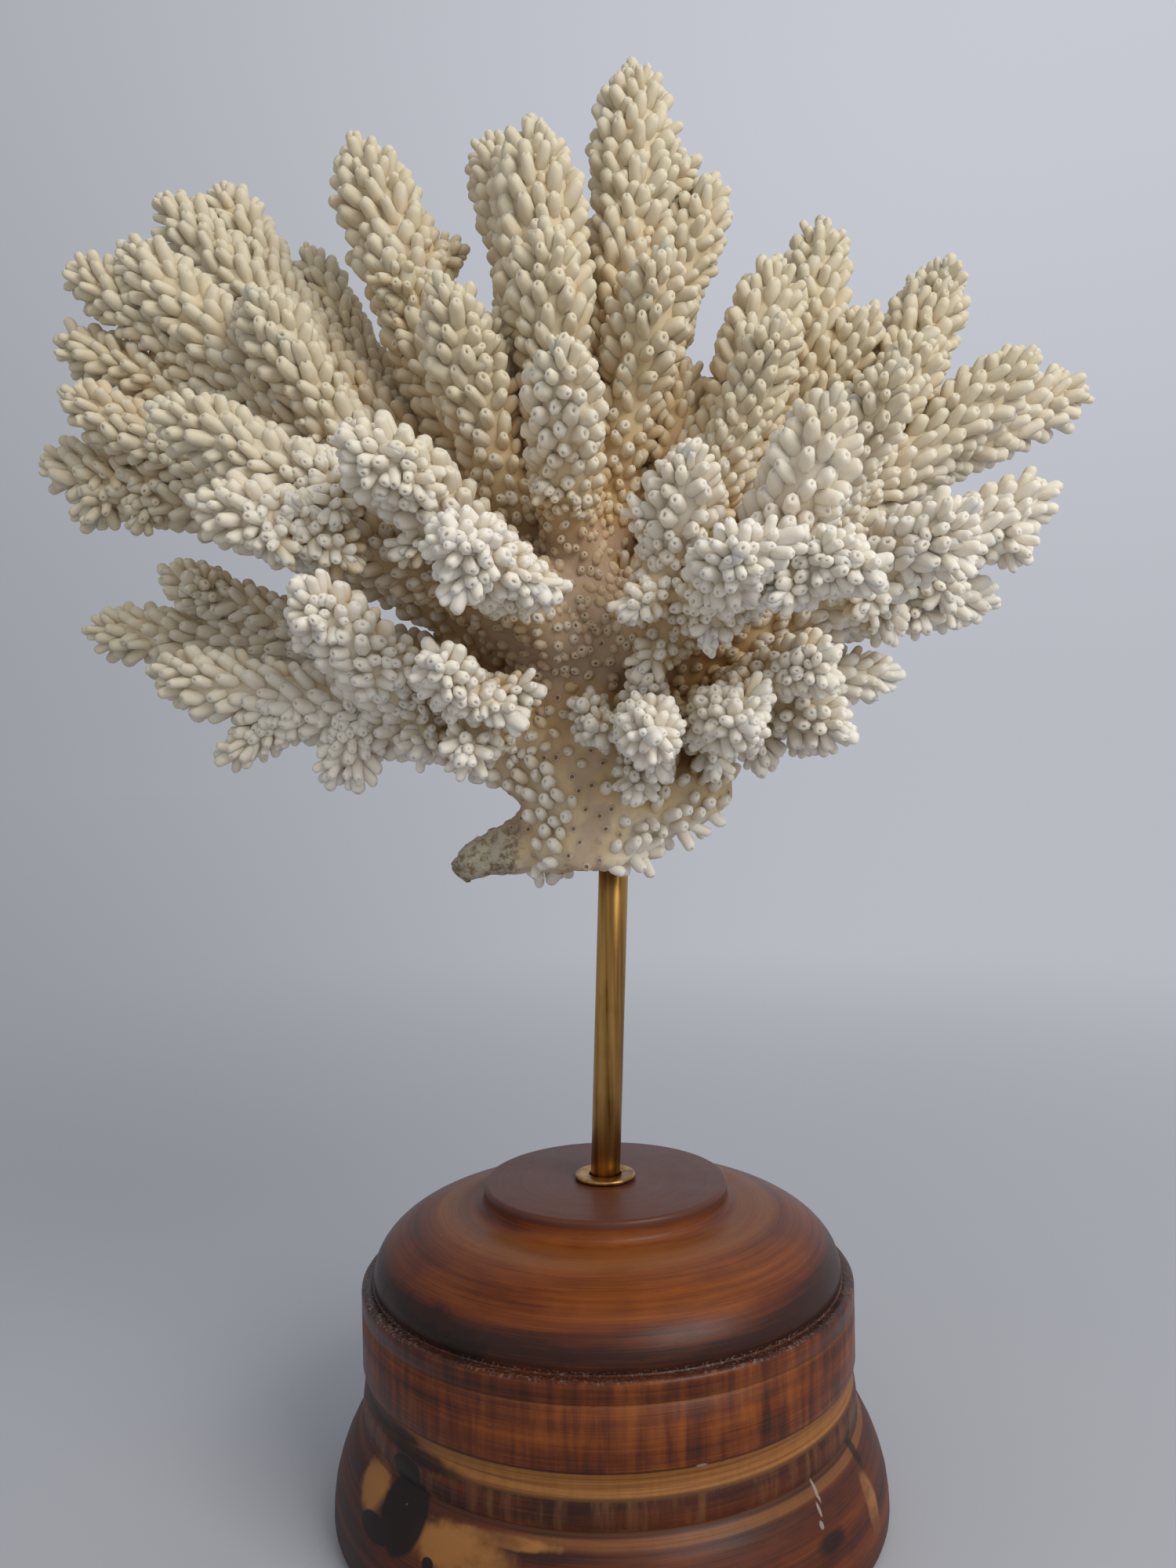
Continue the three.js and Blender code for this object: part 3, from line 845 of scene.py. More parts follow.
@dataclass
class Budding:
    """Short branchlets that bud all round the branches, more of them low down."""

    spacing: float = 85 * MM
    crown: float = 0.245
    crown_share: float = 0.6
    leans: tuple[float, float] = (25, 50)
    girths: tuple[float, float] = (2.9, 3.7)
    lengths: tuple[float, float] = (3.5, 8.0)

    def bud(self, axes: dict[str, Axis], random: np.random.Generator) -> list[Axis]:
        """Grows the branchlets.

        Args:
            axes: the branches by name.
            random: the seeded source of their places and sizes.
        Returns:
            Their middle lines.
        """
        made = []
        for parent in axes.values():
            low = parent.points[-1][2] < self.crown
            count = round(parent.length / self.spacing * (1.0 if low else self.crown_share))
            for _ in range(count):
                distance = np.array([parent.length * random.uniform(0.3, 0.82)])
                tangent, first, second = (side[0] for side in parent.sides_at(distance))
                angle = random.uniform(0, math.tau)
                lean = math.radians(random.uniform(*self.leans))
                across = first * math.cos(angle) + second * math.sin(angle)
                heading = across * math.cos(lean) + tangent * math.sin(lean)
                girth = random.uniform(*self.girths) * MM
                reach = float(parent.girth_at(distance)[0]) + random.uniform(*self.lengths) * MM
                shares = np.linspace(0, 1, 7)[:, None]
                line = parent.at(distance)[0] + heading * reach * shares
                made.append(Axis(f"bud_{len(made) + 1:02d}", line, np.full(7, girth)))
        return made


@dataclass
class Twig:
    """A small branchlet past what the CAD model holds: it leaves a branch and runs to an offset."""

    parent: str
    along: float
    offset: tuple[float, float, float]
    girth: float

    def axis(self, axes: dict[str, Axis], number: int) -> Axis:
        """The twig's middle line."""
        parent = axes[self.parent]
        start = parent.at(np.array([parent.length * self.along]))[0]
        run = np.array(self.offset) * MM
        bow = unit(np.cross(run, [0.3, 0.9, 0.2])) * 0.06 * np.linalg.norm(run)
        shares = np.linspace(0, 1, 9)[:, None]
        line = start + run * shares + bow * np.sin(shares * math.pi)
        girth = self.girth * MM * np.interp(shares[:, 0], [0, 0.75, 0.92, 1], [1.0, 1.0, 0.75, 0.35])
        return Axis(f"twig_{number:02d}", line, girth)


TWIGS = [
    Twig("branch_left_low", 0.66, (-9, 0, -11), 3.2),
    Twig("branch_left_low", 0.66, (-15, -1, -12), 2.8),
    Twig("branch_left_low", 0.52, (1, -4, -16), 3.6),
    Twig("branch_left_low", 0.52, (-5, -3, -15), 3.0),
    Twig("branch_left_low", 0.34, (-2, -14, -7), 4.4),
    Twig("branch_left_low", 0.22, (-3, -24, -8), 4.6),
    Twig("fork_left_low_inner", 0.45, (14, -10, 2), 3.2),
    Twig("fork_left_low_inner", 0.60, (12, -6, -7), 3.0),
    Twig("fork_left_low_front", 0.55, (13, -8, -4), 3.8),
    Twig("fork_left_low_front", 0.30, (12, -10, 6), 3.6),
    Twig("fork_left_mid_low", 0.60, (11, -8, -9), 4.2),
    Twig("fork_left_mid_low", 0.75, (6, -6, -10), 3.8),
    Twig("branch_left_mid", 0.60, (3, -16, -10), 4.4),
    Twig("branch_left_out", 0.86, (-6, -2, -12), 4.2),
    Twig("branch_left_out", 0.78, (-3, -6, -11), 3.6),
    Twig("branch_right_high", 0.35, (1, 14, 38), 6.2),
    Twig("branch_crown_high", 0.72, (15, -2, 12), 4.6),
    Twig("branch_crown_left", 0.62, (-6, -14, 10), 4.6),
    Twig("branch_crown_left", 0.70, (13, 2, 8), 4.2),
    Twig("fork_front_right_up", 0.4, (-9, -12, -10), 3.4),
    Twig("fork_front_right_up", 0.5, (14, -4, 2), 3.2),
    Twig("branch_front_star", 0.5, (10, -14, -6), 3.8),
    Twig("branch_front_star", 0.8, (-3, -2, -11), 3.2),
    Twig("branch_front_star", 0.7, (12, -4, -8), 3.4),
    Twig("branch_front_left", 0.8, (8, -4, -9), 4.0),
    Twig("branch_right_under", 0.5, (2, -12, -16), 4.2),
    Twig("branch_right_under", 0.36, (2, -14, -14), 3.8),
    Twig("branch_right_under", 0.62, (4, -8, -14), 4.0),
    Twig("branch_right_under", 0.20, (-12, -24, 0), 3.0),
    Twig("branch_right_under", 0.15, (-10, -22, 5), 2.8),
    Twig("branch_right_under", 0.25, (-4, -26, 7), 3.2),
    Twig("branch_right_under", 0.12, (2, -22, -14), 3.4),
    Twig("fork_right_under_ledge", 0.55, (-9, -10, -3), 3.4),
    Twig("fork_right_under_ledge", 0.75, (6, -9, -5), 3.6),
    Twig("fork_front_right_low", 0.60, (-9, -7, -8), 3.6),
    Twig("fork_front_right_low", 0.75, (8, -7, -6), 3.8),
    Twig("fork_front_right_low", 0.45, (-12, -10, -4), 3.4),
    Twig("branch_front_right", 0.45, (-4, -12, -12), 4.0),
    Twig("branch_front_right", 0.30, (-8, -10, -12), 3.8),
    Twig("fork_right_low_front", 0.55, (-6, -8, -10), 4.0),
    Twig("fork_right_low_front", 0.75, (8, -5, -8), 4.0),
    Twig("branch_right_low", 0.55, (2, -10, -12), 4.2),
    Twig("branch_right_low", 0.68, (4, -6, -12), 4.2),
    Twig("branch_right_low", 0.82, (8, -4, -9), 4.6),
    Twig("fork_right_low_under", 0.6, (6, -6, -5), 3.8),
    Twig("fork_right_low_under", 0.45, (2, -8, -7), 3.8),
    Twig("branch_back_left", 0.7, (4, 8, 20), 5.0),
    Twig("branch_back_mid", 0.6, (12, 10, 14), 5.0),
    Twig("branch_back_mid", 0.55, (-14, 8, 12), 5.0),
    Twig("branch_back_right", 0.7, (-8, 8, 18), 5.0),
    Twig("branch_back_right", 0.45, (8, 16, -2), 5.2),
    Twig("branch_back_left", 0.45, (4, 18, -4), 5.2),
    Twig("branch_left_back", 0.5, (-8, 20, 6), 5.2),
    Twig("branch_right_mid", 0.55, (4, 22, 0), 5.2),
]


# ------------------------------------------------------------------ the skeleton


@dataclass
class Skeleton:
    """The solid coral under the corallites, all branches and the stem fused as one."""

    voxel: float = 1.27 * MM
    core_share: float = 0.78
    sides: int = 14
    spacing: float = 2.6 * MM
    smoothing: int = 5
    tip_gap: float = 3.0 * MM
    thinnest: float = 1.1 * MM
    end_taper: float = 2.3
    short_branch: float = 14 * MM
    closing_rings: tuple[float, ...] = (5.2, 3.6, 2.2, 1.1, 0.3, 0.0)
    stem_inset: float = 0.5 * MM

    def core_end(self, axis: Axis) -> float:
        """Where a branch's core stops, short of its tip by a corallite's length."""
        return axis.length - self.tip_gap

    def core_radius(self, axis: Axis, distance: np.ndarray) -> np.ndarray:
        """The core's radius at distances along an axis: flared at the root, round at the tip."""
        flare = 1 + 0.4 * np.exp(-distance / (9 * MM))
        wave = 1 + 0.07 * np.sin(distance / (3.1 * MM) + len(axis.name))
        girth = axis.girth_at(np.minimum(distance, axis.length * 0.9))
        full = np.maximum(girth * self.core_share * flare * wave, self.thinnest)
        left = np.clip((self.core_end(axis) - distance) / (self.end_taper * full), 0, 1)
        return full * np.maximum(1 - (1 - left) ** 1.9, 0.12)

    def add_core(self, bm: bmesh.types.BMesh, axis: Axis) -> None:
        """Extrudes one branch's core ring by ring along its axis."""
        end = self.core_end(axis)
        count = max(6, int(end / self.spacing))
        if end < self.short_branch:
            distances = end * np.sin(np.linspace(0, math.pi / 2, count))
        else:
            closing = end - np.array(self.closing_rings) * MM
            distances = np.concatenate([np.linspace(0, end - 7 * MM, count), closing])
        count = len(distances)
        tangent, first, second = axis.sides_at(distances)
        places = axis.at(distances)
        radii = self.core_radius(axis, distances)
        rings = []
        for i in range(count):
            turned = Matrix((first[i], second[i], tangent[i])).transposed().to_4x4()
            rings.append(Matrix.Translation(places[i]) @ turned @ Matrix.Scale(radii[i], 4))
        made = bmesh.ops.create_circle(bm, cap_ends=True, segments=self.sides, radius=1, matrix=rings[0])
        edges = list({edge for vert in made["verts"] for edge in vert.link_edges})
        for before, after in zip(rings, rings[1:]):
            grown = bmesh.ops.extrude_edge_only(bm, edges=edges)["geom"]
            edges = [item for item in grown if isinstance(item, bmesh.types.BMEdge)]
            verts = [item for item in grown if isinstance(item, bmesh.types.BMVert)]
            bmesh.ops.transform(bm, matrix=after @ before.inverted(), verts=verts)
        bmesh.ops.edgeloop_fill(bm, edges=edges)

    def add_stem(self, bm: bmesh.types.BMesh) -> None:
        """Adds the stem's solid, drawn in a little so that its pores stay inside its box."""
        start = len(bm.verts)
        bm.from_mesh(frame["nodes"]["coral_stem"].data)
        bm.verts.ensure_lookup_table()
        fresh = bm.verts[start:]
        bmesh.ops.remove_doubles(bm, verts=fresh, dist=1e-5)
        bm.normal_update()
        for vert in [v for v in bm.verts if v.index >= start or v.index == -1]:
            vert.co -= vert.normal * self.stem_inset

    def build(self, axes: Sequence[Axis], coral: bpy.types.Material) -> bpy.types.Object:
        """Fuses everything and roughens it a little."""
        bm = bmesh.new()
        self.add_stem(bm)
        for axis in axes:
            self.add_core(bm, axis)
        bmesh.ops.recalc_face_normals(bm, faces=bm.faces)
        mesh = bpy.data.meshes.new("cores")
        bm.to_mesh(mesh)
        bm.free()
        rough = bpy.data.objects.new("cores", mesh)
        bpy.context.scene.collection.objects.link(rough)
        fuse = rough.modifiers.new("fuse", "REMESH")
        fuse.mode = "VOXEL"
        fuse.voxel_size = self.voxel
        relax = rough.modifiers.new("relax", "SMOOTH")
        relax.factor = 0.5
        relax.iterations = self.smoothing
        shaped = rough.evaluated_get(bpy.context.evaluated_depsgraph_get())
        fused = bpy.data.meshes.new_from_object(shaped)
        bpy.data.objects.remove(rough)
        self.roughen(fused)
        fused.name = "skeleton"
        return add_object("coral_skeleton", fused, coral)

    def roughen(self, mesh: bpy.types.Mesh) -> None:
        """Pushes the surface in and out in soft lumps."""
        places, normals = vertex_arrays(mesh)
        vectors = [Vector(p) for p in places]
        lumps = np.array([noise.noise(p * 260) * 0.35 + noise.noise(p * 700) * 0.15 for p in vectors])
        crags = np.array([noise.noise(p * 150) * 1.7 + abs(noise.noise(p * 420)) * 1.1 for p in vectors])
        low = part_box("coral_stem")[0].z
        crust = 1 - smoothstep(places[:, 2], low + 9 * MM, low + 20 * MM)
        near_rod = np.hypot(places[:, 0], places[:, 1]) < 6 * MM
        lumps += crags * crust * np.where(near_rod, 0.3, 1.0)
        mesh.vertices.foreach_set("co", (places + normals * (lumps * MM)[:, None]).ravel())
        mesh.update()


def vertex_arrays(mesh: bpy.types.Mesh) -> tuple[np.ndarray, np.ndarray]:
    """A mesh's vertex places and normals."""
    places = np.empty(len(mesh.vertices) * 3)
    normals = np.empty(len(mesh.vertices) * 3)
    mesh.vertices.foreach_get("co", places)
    mesh.vertex_normals.foreach_get("vector", normals)
    return places.reshape(-1, 3), normals.reshape(-1, 3)


# ------------------------------------------------------------------ corallites


@dataclass
class Seeds:
    """Where corallites stand, and how each one is shaped."""

    root: list = field(default_factory=list)
    aim: list = field(default_factory=list)
    out: list = field(default_factory=list)
    length: list = field(default_factory=list)
    radius: list = field(default_factory=list)
    growth: list = field(default_factory=list)
    tipness: list = field(default_factory=list)
    openness: list = field(default_factory=list)

    def column(self, name: str) -> np.ndarray:
        """One of the lists as an array."""
        return np.array(getattr(self, name))

    def add(self, root: Vector, aim: Vector, out: Vector, length: float, radius: float, growth: float,
            tipness: float = 0.0) -> None:
        """Adds one corallite."""
        self.root.append(tuple(root))
        self.aim.append(tuple(aim))
        self.out.append(tuple(out))
        self.length.append(length)
        self.radius.append(radius)
        self.growth.append(growth)
        self.tipness.append(tipness)


@dataclass(frozen=True)
class Ring:
    """One ring of a corallite.

    Its radius, its height as shares of the radius and of the length, its pinch across, how pale it is
    (painted shade darkens the foot, where the tubes crowd together), how dark its hollow is (painted shade
    in the mouth) and how mouth-like it is.
    """

    radius: float
    rise: float
    reach: float
    pinch: float = 1.0
    relief: float = 0.0
    cup: float = 0.0
    mouth: float = 0.0


class Shape(Enum):
    """The corallites' outlines, from the skeleton up."""

    # In each ring the fifth number paints shade, dark at the foot and pale at the top; the sixth paints
    # shade in the hollow.
    TUBE = (
        Ring(0.95, -1.15, 0.00, 1.0, 0.1),
        Ring(1.16, -0.10, 0.14, 0.98, 0.45),
        Ring(1.03, -0.82, 1.00, 0.94, 0.85),
        Ring(0.77, -0.24, 1.00, 0.92, 1.0),
        Ring(0.42, 0.02, 1.00, 0.76, 1.0, 0.0, 0.6),
        Ring(0.22, -0.42, 1.00, 0.60, 0.6, 1.0, 1.0),
    )
    STUB = (
        Ring(0.95, -1.15, 0.00, 1.0, 0.1),
        Ring(1.16, -0.10, 0.16, 0.98, 0.5),
        Ring(1.03, -0.82, 1.00, 0.94, 0.85),
        Ring(0.72, -0.22, 1.00, 0.92, 1.0),
        Ring(0.34, 0.03, 1.00, 0.84, 1.0),
    )
    # A pore is a low rim whose middle is painted dark as shade, not a hole.
    PORE = (
        Ring(1.60, -0.35, 0.00),
        Ring(1.00, 0.28, 0.00, 1.0, 0.25),
        Ring(0.70, 0.36, 0.00, 1.0, 0.35),
        Ring(0.52, 0.22, 0.00, 1.0, 0.1, 1.0),
        Ring(0.44, 0.08, 0.00, 1.0, 0.0, 1.0),
    )


@dataclass
class CoralliteMould:
    """Makes many corallites of one outline as a single joined mesh."""

    shape: Shape
    sides: int = 8

    def __post_init__(self) -> None:
        """Extrudes the outline once, and keeps its faces."""
        bm = bmesh.new()
        made = bmesh.ops.create_circle(bm, cap_ends=False, segments=self.sides, radius=1)
        edges = list({edge for vert in made["verts"] for edge in vert.link_edges})
        for _ in self.shape.value[1:]:
            grown = bmesh.ops.extrude_edge_only(bm, edges=edges)["geom"]
            edges = [item for item in grown if isinstance(item, bmesh.types.BMEdge)]
            verts = [item for item in grown if isinstance(item, bmesh.types.BMVert)]
            bmesh.ops.translate(bm, vec=(0, 0, 1), verts=verts)
        bmesh.ops.edgeloop_fill(bm, edges=edges)
        bmesh.ops.recalc_face_normals(bm, faces=bm.faces)
        bm.verts.ensure_lookup_table()
        self.rings = np.array([round(v.co.z) for v in bm.verts])
        self.around = np.array([(v.co.x, v.co.y) for v in bm.verts])
        # An open-bottomed tube counts as facing out when its side faces lean away from the middle.
        side = next(f for f in bm.faces if len(f.verts) == 4)
        outwards = side.normal.xy.dot(side.calc_center_median().xy) > 0
        self.faces = [[v.index for v in (f.verts if outwards else reversed(f.verts))] for f in bm.faces]
        bm.free()

    def cast(self, seeds: Seeds, picked: np.ndarray, random: np.random.Generator) -> "Cast":
        """Stands one corallite on every picked seed.

        Args:
            seeds: the corallites' places and sizes.
            picked: the numbers of the seeds to use.
            random: the seeded source of small differences.
        Returns:
            The corallites' vertices, faces and vertex values.
        """
        count = len(picked)
        table = np.array([
            (r.radius, r.rise, r.reach, r.pinch, r.relief, r.cup, r.mouth) for r in self.shape.value
        ])[self.rings]
        radius = seeds.column("radius")[picked, None]
        length = seeds.column("length")[picked, None]
        aim = unit(seeds.column("aim")[picked])
        out = seeds.column("out")[picked]
        out = unit(out - aim * (out * aim).sum(-1, keepdims=True) + 1e-6)
        side = np.cross(aim, out)
        bend = random.uniform(-0.02, 0.16, (count, 1))
        slant = random.uniform(-0.28, 0.12, (count, 1))
        oval = random.uniform(0.98, 1.16, (count, 1))
        mouth = random.uniform(0.45, 0.95, (count, 1)) * (1 - 0.35 * seeds.column("tipness")[picked, None])
        share, rise, reach, pinch, relief, cup, mouthy = table.T
        across, along = self.around.T
        width = share * (1 - mouthy * (1 - mouth))
        top = (reach > 0.9) * 1.0
        x = across * width * radius * oval - bend * length * reach ** 2
        y = along * width * radius * pinch / oval
        z = rise * radius + reach * length + slant * radius * across * share * top
        offsets = x[..., None] * out[:, None, :] + y[..., None] * side[:, None, :]
        places = seeds.column("root")[picked, None, :] + (offsets + z[..., None] * aim[:, None, :])
        verts = len(self.rings)
        loops = np.concatenate([np.array(face) for face in self.faces])
        return Cast(
            places.reshape(-1, 3),
            (loops[None, :] + (np.arange(count) * verts)[:, None]).ravel(),
            np.tile([len(face) for face in self.faces], count),
            {
                "growth": np.repeat(seeds.column("growth")[picked], verts),
                "openness": np.repeat(seeds.column("openness")[picked], verts),
                "relief": np.tile(relief, count),
                "cup": np.tile(cup, count),
            },
        )


@dataclass
class Cast:
    """Many small shapes' vertices, faces and vertex values, ready to be one mesh."""

    places: np.ndarray
    loops: np.ndarray
    sizes: np.ndarray
    values: dict[str, np.ndarray]

    def joined(self, other: "Cast") -> "Cast":
        """Both casts as one."""
        return Cast(
            np.concatenate([self.places, other.places]),
            np.concatenate([self.loops, other.loops + len(self.places)]),
            np.concatenate([self.sizes, other.sizes]),
            {name: np.concatenate([value, other.values[name]]) for name, value in self.values.items()},
        )

    def mesh(self, name: str) -> bpy.types.Mesh:
        """The cast as a mesh, its values stored on its vertices."""
        mesh = bpy.data.meshes.new(name)
        mesh.vertices.add(len(self.places))
        mesh.loops.add(len(self.loops))
        mesh.polygons.add(len(self.sizes))
        mesh.vertices.foreach_set("co", self.places.astype(np.float32).ravel())
        mesh.loops.foreach_set("vertex_index", self.loops.astype(np.int32))
        starts = np.concatenate([[0], np.cumsum(self.sizes)[:-1]])
        mesh.polygons.foreach_set("loop_start", starts.astype(np.int32))
        mesh.update(calc_edges=True)
        for key, value in self.values.items():
            store(mesh, key, value)
        return mesh


def store(mesh: bpy.types.Mesh, name: str, values: np.ndarray) -> None:
    """Stores one number for each vertex."""
    mesh.attributes.new(name, "FLOAT", "POINT").data.foreach_set("value", values.astype(np.float32))


def smoothstep(value: np.ndarray, low: float, high: float) -> np.ndarray:
    """0 below low, 1 above high, smooth between."""
    share = np.clip((value - low) / (high - low), 0, 1)
    return share * share * (3 - 2 * share)


@dataclass
class Colony:
    """The whole coral: its skeleton and the corallites on every branch and on the stem."""

    skeleton: Skeleton = field(default_factory=Skeleton)
    pitch: float = 2.72
    longest: float = 4.0 * MM
    shortest: float = 1.1 * MM
    overhang: float = 0.9 * MM
    least_room: float = 2.3 * MM
    tip_reach: float = 3.5 * MM
    old_within: float = 12 * MM
    young_beyond: float = 55 * MM
    pore_pitch: float = 2.6 * MM
    pore_radius: float = 0.66 * MM
    tube_radius: float = 1.12 * MM
    least_tube: float = 1.3 * MM
    tubes_above: float = 0.2
    tubes_off_heart: float = 26 * MM
    tubes_up_stem: float = 45 * MM
    broken_height: float = 9 * MM
    broken_side: float = -15 * MM
    tip_crowding: float = 0.24
    cap_share: float = 0.75
    measured_out: float = 1.3 * MM
    lean: float = 29
    more_lean: float = 8
    lean_spread: float = 8
    tip_length: float = 3.2 * MM
    tip_radius: float = 1.35 * MM
    view_rays: int = 12
    fine_above: float = 0.37
    stubs_above: float = 0.125
    seed: int = 7

    def __post_init__(self) -> None:
        """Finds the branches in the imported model."""
        low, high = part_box("coral_stem")
        self.heart = np.array([(low.x + high.x) / 2 - 1 * MM, 0.0, high.z - 12 * MM])
        self.stem_low = low.z
        self.random = np.random.default_rng(self.seed)
        finder = AxisFinder(self.heart)
        names = [name for name in frame["nodes"] if name.startswith(("branch_", "fork_"))]
        self.axes = {name: finder.find(name) for name in sorted(names)}
        self.twigs = [twig.axis(self.axes, i) for i, twig in enumerate(TWIGS, 1)]
        self.buds = Budding().bud(self.axes, self.random)

    @staticmethod
    def lobe_radius(girth: np.ndarray) -> np.ndarray:
        """How fat the corallites are on a branch of a given girth."""
        return 0.93 * MM + 0.074 * np.minimum(girth, 10 * MM)

    def growth_at(self, place: np.ndarray, share: float) -> float:
        """How far from the old stem a place is, 0 to 1."""
        away = np.linalg.norm(place - self.heart)
        outwards = smoothstep(away, self.old_within, self.young_beyond)
        return float(max(outwards, smoothstep(share, 0.25, 0.7)))

    def seed_axis(self, axis: Axis) -> Seeds:
        """Winds corallites round one branch, and fans them out over its round tip."""
        seeds = Seeds()
        end = self.skeleton.core_end(axis)
        grid = np.linspace(0, end, 400)
        core = self.skeleton.core_radius(axis, grid)
        cap = float(np.interp(0.7, grid / end, core)) * self.cap_share
        near_tip = smoothstep(grid, end - cap - 9 * MM, end - cap * 0.5)
        pitch = self.pitch * self.lobe_radius(axis.girth_at(grid)) * (1 - self.tip_crowding * near_tip)
        density = math.tau * (core + self.measured_out) / pitch ** 2
        total = np.concatenate([[0], np.cumsum((density[1:] + density[:-1]) / 2 * np.diff(grid))])
        count = int(total[-1])
        distances = np.interp(np.arange(count) + self.random.uniform(-0.35, 0.35, count), total, grid)
        origins = np.minimum(distances, end - cap)
        tangent, first, second = axis.sides_at(origins)
        places = axis.at(origins)
        girths = axis.girth_at(distances)
        cores = self.skeleton.core_radius(axis, distances)
        for i, distance in enumerate(distances):
            angle = i * GOLDEN_ANGLE + self.random.uniform(-0.14, 0.14)
            forward = Vector(tangent[i])
            ray = Vector(first[i] * math.cos(angle) + second[i] * math.sin(angle))
            over = max(distance - (end - cap), 0) / cap
            ray = (ray * math.cos(over * math.pi / 2) + forward * math.sin(over * math.pi / 2)).normalized()
            hit, normal, _, reach = self.tree.ray_cast(Vector(places[i]), ray, 0.05)
            if hit is None or over == 0 and reach > cores[i] * 1.5 + self.overhang:
                continue
            growth = self.growth_at(places[i], distance / axis.length)
            tipness = float(smoothstep(distance, end - cap - 7 * MM, end - cap * 0.5))
            lean = self.lean + self.more_lean * growth + self.random.normal(0, self.lean_spread)
            lean = math.radians(lean)
            sway = forward.cross(ray) * self.random.normal(0, 0.15)
            facing = (normal * 0.4 + ray).normalized()
            aim = (facing * math.cos(lean) + forward * math.sin(lean) + sway).normalized()
            room = self.tip_reach
            if over == 0:
                room = max(girths[i] * 1.06 + self.overhang - reach, self.least_room) / math.cos(lean)
            full = min(room, self.longest)
            radius = float(self.lobe_radius(girths[i])) * (1 - 0.20 * tipness)
            radius *= self.random.uniform(0.80, 1.14) * (0.72 + 0.28 * growth)
            length = (self.shortest + (full - self.shortest) * growth) * self.random.uniform(0.70, 1.16)
            seeds.add(hit, aim, ray, max(length, radius * 1.05), radius, growth, tipness)
        tip = Vector(axis.at(np.array([end]))[0])
        heading = Vector(axis.tangent_at(np.array([end]))[0])
        sunk = tip - heading * 0.6 * MM
        seeds.add(sunk, heading, heading.orthogonal(), self.tip_length, self.tip_radius, 1.0, 0.4)
        return seeds

    def seed_stem(self, taken: KDTree, mesh: bpy.types.Mesh) -> tuple[Seeds, Seeds]:
        """Scatters pores and stubby tubes where no branch corallite stands.

        Args:
            taken: the places of the corallites so far.
            mesh: the skeleton's mesh.
        Returns:
            The tubes and the pores.
        """
        tubes, pores = Seeds(), Seeds()
        centres = np.empty(len(mesh.polygons) * 3)
        mesh.polygons.foreach_get("center", centres)
        centres = centres.reshape(-1, 3)
        order = self.random.permutation(len(centres))
        chosen: dict[tuple[int, int, int], list[Vector]] = {}
        cell = self.pore_pitch
        ledge = Vector((-0.011, -0.012, self.stem_low + 7 * MM))
        for index in order:
            place = Vector(centres[index])
            _, _, gap = taken.find(place)
            if gap < self.pore_pitch * 0.95:
                continue
            key = tuple(int(math.floor(c / cell)) for c in place)
            near = [q for dx in (-1, 0, 1) for dy in (-1, 0, 1) for dz in (-1, 0, 1)
                    for q in chosen.get((key[0] + dx, key[1] + dy, key[2] + dz), ())]
            if any((place - q).length < self.pore_pitch for q in near):
                continue
            chosen.setdefault(key, []).append(place)
            normal = mesh.polygons[index].normal
            away = np.linalg.norm(np.array(place) - self.heart)
            clump = noise.noise(place * 75 + Vector((4, 1, 7)))
            clump += 0.34 * float(smoothstep(place.x, -1 * MM, 9 * MM))
            from_ledge = (place - ledge).length
            clump = max(clump, 0.5 - from_ledge / (16 * MM))
            jitter = self.random.uniform(0.85, 1.15)
            if place.z < self.stem_low + self.broken_height and place.x < self.broken_side:
                continue
            upper = away > self.tubes_off_heart and place.z > self.stem_low + self.tubes_up_stem
            if upper or clump > self.tubes_above:
                aim = normal + Vector((0, 0, 0.35)) + Vector(self.random.normal(0, 0.12, 3))
                length = (1.3 + 4.5 * min(max(clump, 0), 0.7)) * MM * jitter
                length = max(length, self.least_tube)
                tubes.add(place, aim, normal, length, self.tube_radius * jitter, 0.35 + max(clump, 0))
            else:
                pores.add(place, normal, normal.orthogonal(), 0.0, self.pore_radius * jitter, 0.05)
        return tubes, pores

    def openness(self, places: np.ndarray, normals: np.ndarray) -> np.ndarray:
        """The share of directions in which a place sees out of the colony."""
        spread = np.arange(self.view_rays) + 0.5
        up = 1 - 2 * spread / self.view_rays
        turn = spread * GOLDEN_ANGLE
        flat = np.sqrt(1 - up ** 2)
        sphere = np.stack([flat * np.cos(turn), flat * np.sin(turn), up], axis=-1)
        seen = np.empty(len(places))
        for i, (place, normal) in enumerate(zip(places, normals)):
            heading = unit(sphere + normal * 0.9)
            start = Vector(place + normal * 1.6 * MM)
            free = sum(self.tree.ray_cast(start, Vector(h), 0.08)[0] is None for h in heading)
            seen[i] = free / self.view_rays
        return seen

